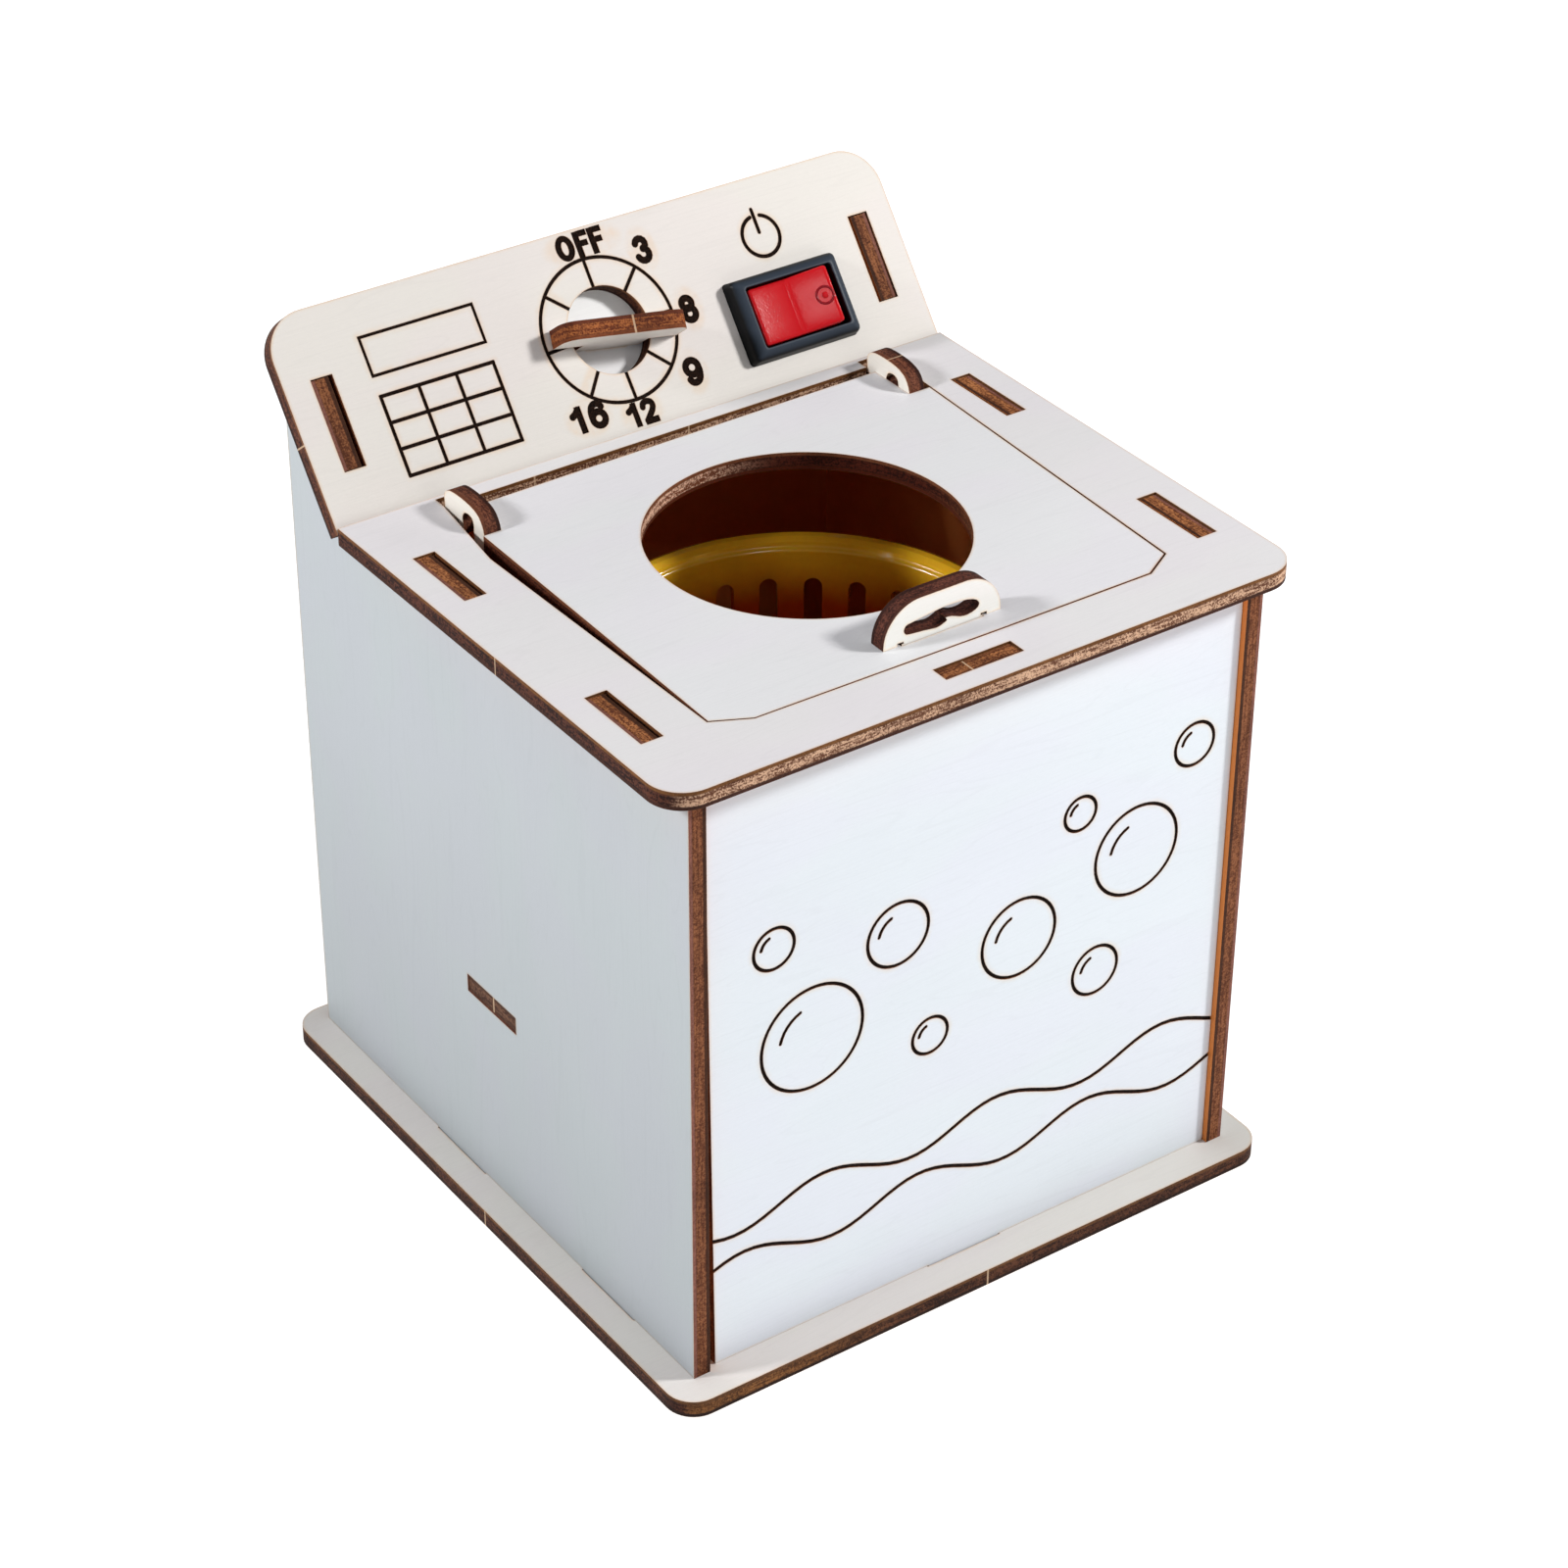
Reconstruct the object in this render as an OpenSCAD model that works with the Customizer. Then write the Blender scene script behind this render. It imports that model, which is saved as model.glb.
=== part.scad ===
// Toy washing machine, a laser-cut plywood kit with a battery motor.
// X runs right along the front, Y to the back, Z up. The origin is the centre of the base on the table.

/* [Sheet] */
// Thickness of the plywood sheet
ply = 3; // [2.8:0.1:3.2]
// Clearance round a tenon in its slot, each side
slot_gap = 0.15; // [0.05:0.05:0.25]

/* [Cabinet] */
// Width over the two side panels
body_w = 104.6; // [104:0.2:106]
// Depth of the side panels
body_d = 112; // [112:0.5:113]
// How far the base, deck and control panel stand out past the sides
side_over = 4.9; // [4:0.1:6]
// Depth of the base plate
base_d = 120.8; // [120.4:0.2:124]
// Corner radius of the base plate
base_r = 5; // [3:0.5:8]
// Height of the deck's top face
deck_z = 112.4; // [112:0.2:114]
// Corner radius of the deck's front corners
deck_r = 6; // [3:0.5:7]
// Height of the shelf's top face
shelf_z = 41.3; // [41:0.1:42]

/* [Control panel] */
// Lean of the control panel, back from upright
panel_lean = 38.2; // [37:0.2:39]
// Height of the control panel along its slope, above the deck
panel_h = 33.2; // [33:0.2:35]
// Radius of the dial's hole
dial_hole_r = 7.25; // [7.1:0.05:7.4]
// Length of the knob's grip
knob_len = 22.2; // [20:0.2:24]
// Height of the knob's grip above the panel
knob_h = 5.9; // [5:0.1:8]
// Turn of the knob at rest
knob_turn = -9.4; // [-20:0.2:20]

/* [Lid] */
// Radius of the lid's window
lid_hole_r = 25.3; // [22:0.1:26]
// Gap round the hinge hooks
hook_gap = 0.35; // [0.3:0.05:0.4]

/* [Drum] */
// Radius of the drum's rim
drum_rim_r = 36.1; // [34:0.1:38]
// Height of the drum's rim above the table
drum_top = 92.7; // [90:0.1:95]
// Number of drain slots in each row
drum_slots = 28; // [20:2:30]

/* [Engraving] */
// Depth of the burnt lines
burn_depth = 0.2; // [0.1:0.05:0.4]
// Width of the burnt lines
burn_w = 0.6; // [0.4:0.05:0.7]
// Width of the strokes of the numbers
digit_w = 1.1; // [0.8:0.05:1.2]
// Height of the upper water line on the front
wave_z = 29; // [24:0.5:36]
// Length of one wave of the water lines
wave_len = 33; // [20:1:50]

/* [Hidden] */
$fn = 64;

half_w = body_w / 2;                 // outer face of a side panel
in_w = half_w - ply;                 // inner face of a side panel
wide = half_w + side_over;           // edge of base, deck and control panel
side_c = half_w - ply / 2;
y_f = -55.2;                         // front edge of the side panels
y_b = y_f + body_d;                  // rear edge of the side panels
deck_b = deck_z - ply;               // underside of the deck
slot_w = ply + 2 * slot_gap;
panel_y = 33.9;                      // the control panel's face meets the deck's top here
foot_y = panel_y - 0.9 + ply * cos(panel_lean); // foot of the slope, on top of the sides
back_y = y_b - ply - 0.2;            // inner face of the back panel
front_y = y_f + 1;                   // outer face of the front panel
drum_y = -8.6;
base_w = wide + 0.3;                 // edge of the base plate
slot_in = 0.5;                       // the slots of the deck and control panel run this much further in
hinge_y = 26.6;
hinge_z = deck_z - ply / 2;
pin_r = 0.75;
handle_x = 0.65;                     // middle of the lid's handle
handle_y = -43.1;                    // front face of the handle
dial_x = -0.6;                       // middle of the dial's engraved scale
dial_s = 16.2;
knob_x = -0.3;                       // axis of the knob, which sits a little low in its hole
knob_s = 15.4;
sw_x = 32;
sw_s = 10.5;
rock_tilt = 10;                      // tilt of the rocker either way
rock_z = -1.5;                       // rocker pivot below the panel's face
motor_top = shelf_z - ply;           // the motor's face, against the shelf

// ---- helpers ----
module on_panel() translate([0, panel_y, deck_z]) rotate([90 - panel_lean, 0, 0]) children();
module slotted(x0, y0, x1, y1, z, h) translate([x0, y0, z]) cube([x1 - x0, y1 - y0, h]);
module rsquare(x0, y0, x1, y1, r) {
    // rectangle with four round corners
    difference() {
        translate([x0, y0]) square([x1 - x0, y1 - y0]);
        for (c = [[x0, y0, 0], [x1, y0, 90], [x1, y1, 180], [x0, y1, 270]])
            translate([c[0], c[1]]) rotate(c[2]) difference() {
                translate([-1, -1]) square([r + 1, r + 1]);
                translate([r, r]) circle(r);
            }
    }
}
// section in the YZ plane, extruded along X from x0 to x1
module yz(x0, x1) translate([x0, 0, 0]) rotate([90, 0, 90]) linear_extrude(x1 - x0) children();

// smooth line through the points p, with n steps between neighbours
function cr(a, b, c, d, t) = 0.5 * (2 * b + (c - a) * t + (2 * a - 5 * b + 4 * c - d) * t * t + (3 * b - a - 3 * c + d) * t * t * t);
function route(p, n) = [for (i = [0 : len(p) - 2]) for (k = [0 : n - 1])
    cr(p[max(i - 1, 0)], p[i], p[i + 1], p[min(i + 2, len(p) - 1)], k / n), p[len(p) - 1]];
function unit(v) = v / norm(v);
function arc(c, r, a0, a1, n) = [for (i = [0 : n]) let (a = a0 + (a1 - a0) * i / n) [c[0] + r * cos(a), c[1] + r * sin(a)]];
function left_of(v) = [-v[1], v[0]];
function heading(p, i) = unit(p[min(i + 1, len(p) - 1)] - p[max(i - 1, 0)]);
function angle_of(v) = atan2(v[1], v[0]);
// a line of width w along the points p, with round ends
module stroke(p, w) {
    m = len(p) - 1;
    a = angle_of(heading(p, 0));
    b = angle_of(heading(p, m));
    polygon(concat(arc(p[0], w / 2, a + 255, a + 105, 5), [for (i = [1 : m - 1]) p[i] + left_of(heading(p, i)) * w / 2],
        arc(p[m], w / 2, b + 75, b - 75, 5), [for (i = [m - 1 : -1 : 1]) p[i] - left_of(heading(p, i)) * w / 2]));
}
module bar(x0, y0, x1, y1, w) translate([x0, y0]) rotate(atan2(y1 - y0, x1 - x0)) translate([0, -w / 2]) square([norm([x1 - x0, y1 - y0]), w]);
module ring(x, y, r, w) translate([x, y]) difference() { circle(r + w / 2); circle(r - w / 2); }

// numbers and letters, about 4.4 mm high and centred
module glyph(c) {
    w = digit_w;
    if (c == "8") { ring(0, 0.84, 0.82, w); ring(0, -0.76, 0.94, w); }
    if (c == "3") { stroke(arc([0, 0.84], 0.82, 165, -75, 9), w); stroke(arc([0, -0.76], 0.94, 75, -165, 10), w); }
    if (c == "9") { ring(0, 0.62, 1.06, w); stroke(route([[1.06, 0.6], [1.02, -0.4], [0.66, -1.3], [0, -1.68], [-0.62, -1.55], [-0.95, -1.1]], 3), w); }
    if (c == "6") rotate(180) glyph("9");
    if (c == "1") { stroke([[-0.95, 0.72], [-0.3, 1.05], [0.2, 1.6]], w); bar(0.25, 2.1, 0.25, -2.15, w); }
    if (c == "2") { stroke(route([[-0.98, 0.85], [-0.7, 1.45], [0, 1.68], [0.75, 1.4], [0.95, 0.75], [0.6, 0], [-0.2, -0.85], [-0.9, -1.55]], 3), w); bar(-1.35, -1.68, 1.4, -1.68, w); }
    if (c == "O") difference() {
        polygon([for (a = [0 : 12 : 348]) [1.68 * cos(a), 2.15 * sin(a)]]);
        polygon([for (a = [0 : 12 : 348]) [0.56 * cos(a), 1.12 * sin(a)]]);
    }
    if (c == "F") { bar(-0.8, -2.18, -0.8, 2.18, w); bar(-0.7, 1.72, 1.25, 1.72, w - 0.1); bar(-0.7, 0.1, 1, 0.1, w - 0.1); }
}

// ---- cabinet ----
module base_plate() color("antiquewhite") difference() {
    linear_extrude(ply) rsquare(-base_w, -base_d / 2, base_w, base_d / 2, base_r);
    for (s = [-1, 1]) slotted(s * side_c - slot_w / 2, 5.35, s * side_c + slot_w / 2, 20.25, -1, ply + 2);
    for (s = [-1, 1]) slotted(s * side_c - slot_w / 2, -38.65, s * side_c + slot_w / 2, -23.75, -1, ply + 2);
    slotted(-7.15, front_y - slot_gap, 7.15, front_y + ply + slot_gap, -1, ply + 2);
    for (s = [-1, 1]) slotted(s * 40 - 4.15, back_y - slot_gap, s * 40 + 4.15, back_y + ply + slot_gap, -1, ply + 2);
}

module side_outline() {
    slope_top = 133;
    run = (slope_top - deck_b) * tan(panel_lean);
    polygon([[y_f, ply], [y_b, ply], [y_b, slope_top], [foot_y + run, slope_top], [foot_y, deck_b], [y_f, deck_b]]);
    translate([5.5, 0.3]) square([14.6, ply]);
    translate([-38.5, 0.3]) square([14.6, ply]);
    translate([3.85, deck_b - 0.5]) square([14.7, 0.5 + ply - 0.3]);
    translate([-43.5, deck_b - 0.5]) square([14.4, 0.5 + ply - 0.3]);
    translate([foot_y, deck_b]) rotate(90 - panel_lean) translate([8.9, -0.5]) square([14.7, 0.5 + ply - 0.3]);
}
module side_panel(s) color("aliceblue") difference() {
    yz(s > 0 ? in_w : -half_w, s > 0 ? half_w : -in_w) side_outline();
    slotted(s * side_c - ply, -6, s * side_c + ply, 8.4, shelf_z - ply - slot_gap, ply + 2 * slot_gap);
}
module side_panel_left() side_panel(-1);
module side_panel_right() side_panel(1);

// water lines and soap bubbles, in x and z
function water(z, phase) = [for (x = [-49.5 : 1.8 : 49.5]) [x, z + 2.3 * sin(360 * x / wave_len + phase)]];
bubbles = [[-30, 58, 9.2], [-14.5, 70.5, 5.6], [-37, 77, 3.6], [-8, 49, 3.3], [8.5, 60.5, 7], [24, 48, 4.4], [31, 68, 8], [19.5, 79, 3], [41.5, 83.5, 3.8]];
module front_design() {
    stroke(water(wave_z, 30), burn_w + 0.1);
    stroke(water(wave_z - 8.5, 190), burn_w + 0.1);
    for (b = bubbles) {
        ring(b[0], b[1], b[2], burn_w);
        stroke(arc([b[0], b[1]], b[2] * 0.64, 112, 168, 6), burn_w);
    }
}
module front_panel() color("aliceblue") difference() {
    union() {
        // a hair narrower than the space between the sides, and more so low down on the left
        translate([0, front_y + ply, 0]) rotate([90, 0, 0]) linear_extrude(ply)
            polygon([[-in_w + 1.6, ply], [in_w - 0.1, ply], [in_w - 0.1, deck_b], [-in_w + 0.4, deck_b]]);
        slotted(-6.9, front_y, 6.9, front_y + ply, deck_b - 0.5, 0.5 + ply - 0.3);
        slotted(-6.9, front_y, 6.9, front_y + ply, 0.3, ply);
    }
    translate([0, front_y + burn_depth, 0]) rotate([90, 0, 0]) linear_extrude(1) front_design();
}

module back_panel() color("antiquewhite") difference() {
    union() {
        slotted(-in_w, back_y, in_w, back_y + ply, ply, 127);
        for (s = [-1, 1]) slotted(s * 40 - 4, back_y, s * 40 + 4, back_y + ply, 0.3, ply);
    }
    // way in to the battery box
    translate([0, back_y + ply + 1, 0]) rotate([90, 0, 0]) linear_extrude(ply + 2)
        rsquare(-31.5, -5, 31.5, 21.5, 3);
    // notch round the disc of the knob
    translate([0, back_y + ply + 1, 0]) rotate([90, 0, 0]) linear_extrude(ply + 2)
        rsquare(-7.3, 126.3, 6.7, 135, 2);
}

// the lid lies a little askew in its opening, and each keeps its own outline
lid_edge = [[-41.35, -44], [-35.4, -46.95], [8, -47.45], [36.1, -47.5], [41.5, -44.3], [44.65, 27.85], [-39.95, 27.05]];
opening = [[-41.65, -44.15], [-35.5, -47.2], [8, -47.75], [36.2, -47.85], [41.85, -44.5], [45, 29.85], [-40.4, 29.75], [-42.9, 12]];
function hook_x(s) = s > 0 ? 40.2 : -40;       // left face of a hinge hook
function pin_x(s) = s > 0 ? 40.5 : -45.2;      // left end of a hinge pin

module deck_panel() color("whitesmoke") difference() {
    translate([0, 0, deck_b]) linear_extrude(ply) difference() {
        rsquare(-wide, -58.2, wide, 60, deck_r);
        translate([-80, panel_y - 0.9]) square([160, 60]);
        polygon(opening);
        // notches for the hinge hooks
        for (s = [-1, 1]) translate([hook_x(s) - hook_gap - (s < 0 ? 0.05 : 0), 20]) square([ply + 2 * hook_gap + 0.05, 12.2]);
    }
    for (s = [-1, 1]) {
        slotted(s * side_c - slot_w / 2 - (s > 0 ? slot_in : 0), 3.7, s * side_c + slot_w / 2 + (s < 0 ? slot_in : 0), 18.7, deck_b - 1, ply + 2);
        slotted(s * side_c - slot_w / 2 - (s > 0 ? slot_in : 0), -43.65, s * side_c + slot_w / 2 + (s < 0 ? slot_in : 0), -28.95, deck_b - 1, ply + 2);
        // holes in the cutout's edge for the hinge pins
        translate([s > 0 ? 42 : -45.7, hinge_y, hinge_z]) rotate([0, 90, 0]) cylinder(r = pin_r, h = s > 0 ? 6.9 : 6.7, $fn = 32);
    }
    slotted(-7.05, front_y - slot_gap, 7.05, front_y + ply + slot_gap, deck_b - 1, ply + 2);
}

// each label's glyphs and their places along it, then its middle and its scale
labels = [[["O", -2.95], ["F", 0.35], ["F", 3.05], [0, 30.5, 1]], [["3", 0], [10.1, 26.9, 1.08]], [["8", 0], [14.3, 15.6, 1.08]], [["9", 0], [11.1, 5.8, 1.08]],
    [["1", -1.7], ["2", 1.05], [0, 2, 0.95]], [["1", -1.7], ["6", 1.7], [-9.6, 3.9, 1.05]]];
module panel_marks() {
    w = burn_w;
    // display
    difference() { translate([-42.55, 19.85]) square([20.8, 6.8]); translate([-42.05, 20.35]) square([19.8, 5.8]); }
    // keys, three by three
    for (i = [0 : 3]) {
        bar(-42.3 + i * 6.767, 3.54, -42.3 + i * 6.767, 16.96, w);
        bar(-42.51, 3.75 + i * 4.333, -21.79, 3.75 + i * 4.333, w);
    }
    // dial scale
    ring(dial_x, dial_s, 11.9, w);
    for (a = [0, 48, 94, 142, 181, 225, 270, 315]) translate([dial_x, dial_s]) rotate(a) bar(0, dial_hole_r - 0.5, 0, 11.9, w);
    for (l = labels) let (c = l[len(l) - 1]) for (k = [0 : len(l) - 2]) translate([c[0] + l[k][1], c[1]]) scale(c[2]) glyph(l[k][0]);
    // sign for on and off above the switch
    stroke(arc([31.85, 23.45], 3.45, 103, 433, 44), w + 0.05);
    stroke([[31.75, 28], [31.75, 26], [31.75, 24.1]], w + 0.05);
}
module control_panel() color("antiquewhite") on_panel() difference() {
    translate([0, 0, -ply]) linear_extrude(ply) difference() {
        rsquare(-wide, -30, wide, panel_h, 7);
        translate([-80, -60]) square([160, 60 - 1.46]);
        translate([dial_x, dial_s]) circle(dial_hole_r);
        translate([sw_x - 9.9, sw_s - 6.5]) square([19.8, 13]);
        for (s = [-1, 1]) translate([s * side_c - slot_w / 2 - (s > 0 ? slot_in : 0), 7.3]) square([slot_w + slot_in, 15]);
    }
    translate([0, 0, -burn_depth]) linear_extrude(1) panel_marks();
}

module motor_shelf() color("burlywood") difference() {
    union() {
        slotted(-in_w, front_y + ply, in_w, back_y, motor_top, ply);
        for (s = [-1, 1]) slotted(s > 0 ? in_w - 1 : -half_w + 0.2, -5.85, s > 0 ? half_w - 0.2 : -in_w + 1, 8.25, motor_top, ply);
    }
    translate([0, drum_y, motor_top - 1]) cylinder(r = 3.3, h = ply + 2);
    for (s = [-1, 1]) translate([s * 15.5, drum_y, motor_top - 1]) cylinder(r = 1.1, h = ply + 2, $fn = 32);
    // corner cut away for the leads
    slotted(-in_w - 1, 44.5, -43.4, back_y + 1, motor_top - 1, ply + 2);
}

// strip glued under the deck for the lid's front edge to rest on
module lid_ledge() color("burlywood") slotted(-30, -50, 30, -44, deck_b - ply, ply);

// ---- lid ----
module lid_panel() color("whitesmoke") difference() {
    translate([0, 0, deck_b]) linear_extrude(ply) difference() {
        polygon(lid_edge);
        translate([0.85, drum_y]) circle(lid_hole_r, $fn = 128);
        for (s = [-1, 1]) translate([s > 0 ? hook_x(s) : hook_x(s) - 1, 18.5]) square([ply + (s > 0 ? 2 : 1), 20]);
        translate([handle_x - 7.55, handle_y - slot_gap]) square([15.1, slot_w]);
    }
}

// outline of the handle's finger slot, with a nick where the cut began
finger_slot = [[-7.05, 2.3], [-6.8, 1.7], [-6, 1.4], [-3.4, 1.15], [-1.1, 0.85], [0, 1.1], [0.8, 1.5], [0.55, 2], [1.7, 1.9], [3.2, 1.3],
    [4.6, 1.15], [6, 1.5], [6.7, 2.2], [6.2, 3.1], [4.5, 3.75], [1.7, 3.95], [-0.6, 3.9], [-5.4, 3.3], [-6.7, 3.05], [-7.05, 2.3]];
module lid_handle() color("antiquewhite") translate([handle_x, handle_y + ply, deck_z]) rotate([90, 0, 0]) linear_extrude(ply) {
    difference() {
        intersection() {
            rsquare(-10.7, -10, 10.7, 7, 6.6);
            translate([-12, 0]) square([24, 12]);
        }
        polygon(route(finger_slot, 2));
        // relief cuts beside the tenon
        for (s = [-1, 1]) translate([s * 7.6 - 0.55, -1]) square([1.1, 1.5]);
    }
    translate([-7.4, -ply]) square([14.8, ply + 0.2]);
}

hook_under = [[21.5, 0], [21.6, 0.8], [22.1, 1.4], [23, 1.6], [24, 1.4], [24.6, 0.8], [24.8, 0]];
hook_over = [[30, 0.4], [30.1, 1.6], [29.5, 2.7], [27.8, 3.35], [24.8, 3.5], [22, 3.3], [20, 2.6], [18.9, 1.3], [18.5, 0.2]];
module hinge_hook(s) color("antiquewhite") difference() {
    yz(hook_x(s), hook_x(s) + ply) translate([0, deck_z]) union() {
        polygon(concat([[18.5, -ply], [21.5, -ply]], route(hook_under, 2), [[24.8, -1], [30, -1]], route(hook_over, 3)));
        translate([hinge_y, hinge_z - deck_z]) circle(2.1, $fn = 48);
    }
    translate([hook_x(s) - 1, hinge_y, hinge_z]) rotate([0, 90, 0]) cylinder(r = pin_r + 0.05, h = 6, $fn = 32);
}
module hinge_hook_left() hinge_hook(-1);
module hinge_hook_right() hinge_hook(1);
module hinge_pins() color("silver")
    for (s = [-1, 1]) translate([pin_x(s), hinge_y, hinge_z]) rotate([0, 90, 0]) cylinder(r = pin_r, h = 7.9, $fn = 32);

// ---- dial ----
module knob_grip() color("antiquewhite") on_panel() translate([knob_x, knob_s, 0]) rotate([0, 0, knob_turn]) translate([0, ply / 2, 0]) rotate([90, 0, 0]) linear_extrude(ply) {
    intersection() {
        rsquare(-knob_len / 2, -9, knob_len / 2, knob_h, 2.4);
        translate([-knob_len, 0.35]) square([2 * knob_len, knob_h]);
    }
    translate([-5.9, -ply - 0.35]) square([11.8, ply + 1]);
    translate([-3.6, -2 * ply - 0.35]) square([7.2, ply + 1]);
}
module knob_disc() color("white") on_panel() translate([knob_x, knob_s, -2 * ply - 0.35]) rotate([0, 0, knob_turn]) difference() {
    cylinder(r = 8.8, h = ply);
    translate([-3.7, -ply / 2, -1]) cube([7.4, ply, ply + 2]);
}

// ---- switch ----
module at_switch() on_panel() translate([sw_x, sw_s, 0]) children();
// section of the flange, its rim raised towards the rocker
module flange(h) polygon([[-h, 0], [h, 0], [h - 0.24, 1.6], [h - 0.4, 2.15], [h - 0.8, 2.65], [h - 1.4, 3.05], [h - 1.9, 3.25],
    [1.9 - h, 3.25], [1.4 - h, 3.05], [0.8 - h, 2.65], [0.4 - h, 2.15], [0.24 - h, 1.6]]);
module switch_housing() color("darkslategray") at_switch() difference() {
    union() {
        // flange, bevelled all round
        intersection() {
            translate([0, 7.1, 0]) rotate([90, 0, 0]) linear_extrude(14.2) flange(10.6);
            translate([-10.6, 0, 0]) rotate([90, 0, 90]) linear_extrude(21.2) flange(7.1);
        }
        translate([-9.7, -6.35, -10.5]) cube([19.4, 12.7, 10.6]);
    }
    translate([-8.3, -5.1, -9.3]) cube([16.6, 10.2, 20]);
    translate([0, 10, rock_z]) rotate([90, 0, 0]) cylinder(r = 1.06, h = 20, $fn = 32);
    for (s = [-1, 1]) translate([s * 4.5 - 2.4, -0.4, -12]) cube([4.8, 0.8, 4]);
}
module switch_rocker() color("crimson") at_switch() translate([0, 0, rock_z]) rotate([0, -rock_tilt, 0]) difference() {
    union() {
        translate([0, 4.8, 0]) rotate([90, 0, 0]) linear_extrude(9.6)
            polygon([[0, 4.6], [6.9, 5.74], [7.1, 5.62], [7.2, 5.2], [7.24, 4], [7.45, 2], [7.65, 0], [7.4, -1], [4, -2], [1, -2], [1, -3.2],
                [-1, -3.2], [-1, -2], [-4, -2], [-7.4, -1], [-7.65, 0], [-7.45, 2], [-7.24, 4], [-7.2, 5.2], [-7.1, 5.62], [-6.9, 5.74]]);
        translate([0, 6.1, 0]) rotate([90, 0, 0]) cylinder(r = 1, h = 12.2, $fn = 32);
    }
    // ring moulded in the off side
    translate([5.4, 0.1, 5.3]) rotate([0, -9.7, 0]) difference() {
        cylinder(r = 1.6, h = 1, $fn = 48);
        translate([0, 0, -1]) cylinder(r = 1.15, h = 3, $fn = 48);
    }
}
module switch_contact() color("goldenrod") at_switch() translate([0, 0, rock_z]) rotate([0, -rock_tilt, 0])
    translate([0, 2, 0]) rotate([90, 0, 0]) linear_extrude(4)
        polygon([[-1.6, -3.2], [1.6, -3.2], [5.6, -3.9], [5.6, -4.3], [1.6, -3.6], [-1.6, -3.6], [-5.6, -4.3], [-5.6, -3.9]]);
module switch_terminals() color("silver") at_switch() for (s = [-1, 1]) {
    translate([s * 4.5 - 2.4, -0.4, -15.5]) cube([4.8, 0.8, 8]);
    translate([s * 4.5 - 1.2, -1.2, -7.6]) cube([2.4, 2.4, 0.5]);
}

// ---- drum ----
module drum() color("gold") translate([0, drum_y, 0]) difference() {
    rotate_extrude($fn = 96) polygon([
        [4.05, 45], [29, 45], [30.6, 45.5], [31.5, 46.8], [34.2, 88.5], [35.2, 89.2], [drum_rim_r - 0.25, 89.4], [drum_rim_r, 90],
        [drum_rim_r, 91.6], [drum_rim_r - 0.4, drum_top - 0.35], [drum_rim_r - 1.2, drum_top], [drum_rim_r - 2.2, drum_top - 0.15], [drum_rim_r - 3, drum_top - 0.8],
        [drum_rim_r - 3.35, drum_top - 2], [32.7, 88.5], [30, 47.6], [29, 46.6], [4.05, 46.6]]);
    for (i = [0 : drum_slots - 1]) rotate(i * 360 / drum_slots) {
        translate([-1.5, 28, 67.5]) cube([3, 9, 16.5]);
        translate([0, 28, 84]) rotate([-90, 0, 0]) cylinder(r = 1.5, h = 9, $fn = 24);
        translate([-1.5, 28, 51.5]) cube([3, 9, 10.5]);
    }
    for (i = [0 : 11]) rotate(i * 30 + 15) translate([20, 0, 44]) cylinder(r = 1.6, h = 4, $fn = 24);
    for (s = [-1, 1]) translate([s * 7.5, 0, 44]) cylinder(r = 1.05, h = 4, $fn = 24);
}
module drum_hub() color("white") translate([0, drum_y, 0]) difference() {
    rotate_extrude($fn = 64) polygon([[0.9, 43.4], [11, 43.4], [11, 45], [4, 45], [4, 50.2], [3.6, 50.6], [0.9, 50.6]]);
    translate([0, 0, 42]) cylinder(r = 1, h = 8, $fn = 32);
    for (s = [-1, 1]) translate([s * 7.5, 0, 43]) cylinder(r = 0.85, h = 3, $fn = 24);
}
module hub_screws() color("silver") for (s = [-1, 1]) translate([s * 7.5, drum_y, 0]) difference() {
    rotate_extrude($fn = 32) polygon([[0, 43.6], [0.85, 43.6], [0.85, 46.6], [1.9, 46.6], [1.9, 47.1], [1.4, 47.7], [0.6, 47.9], [0, 47.9]]);
    translate([-1.2, -0.2, 47.4]) cube([2.4, 0.4, 1]);
    translate([-0.2, -1.2, 47.4]) cube([0.4, 2.4, 1]);
}

// ---- motor ----
module can_shape(r, f) intersection() { circle(r, $fn = 64); square([4 * r, 2 * f], center = true); }
module motor_can() color("lightgray") translate([0, drum_y, 0]) difference() {
    union() {
        translate([0, 0, motor_top - 20]) linear_extrude(20) can_shape(10.05, 7.55);
        translate([0, 0, motor_top - 0.2]) cylinder(r = 3.05, h = 1.7);
    }
    translate([0, 0, motor_top - 21]) linear_extrude(20.2) can_shape(9.45, 6.95);
    translate([0, 0, motor_top - 3]) cylinder(r = 2.2, h = 4, $fn = 32);
    translate([0, 0, motor_top - 3]) cylinder(r = 1.4, h = 8, $fn = 32);
}
module motor_bushing() color("goldenrod") translate([0, drum_y, motor_top - 0.8]) difference() {
    cylinder(r = 2.2, h = 1.8, $fn = 32);
    translate([0, 0, -1]) cylinder(r = 1.04, h = 5, $fn = 32);
}
module motor_end_cap() color("white") translate([0, drum_y, 0]) difference() {
    union() {
        translate([0, 0, motor_top - 24.6]) linear_extrude(4.6) can_shape(10.05, 7.55);
        translate([0, 0, motor_top - 20.1]) linear_extrude(1.6) can_shape(9.45, 6.95);
        translate([0, 0, motor_top - 25.8]) cylinder(r = 2.6, h = 2);
    }
    translate([0, 0, motor_top - 23.2]) linear_extrude(6) can_shape(8, 5.6);
    translate([0, 0, motor_top - 25]) cylinder(r = 1.04, h = 3, $fn = 32);
    for (s = [-1, 1]) translate([-1.2, s > 0 ? 5.5 : -6.55, motor_top - 26]) cube([2.4, 1.05, 5.1]);
}
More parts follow.
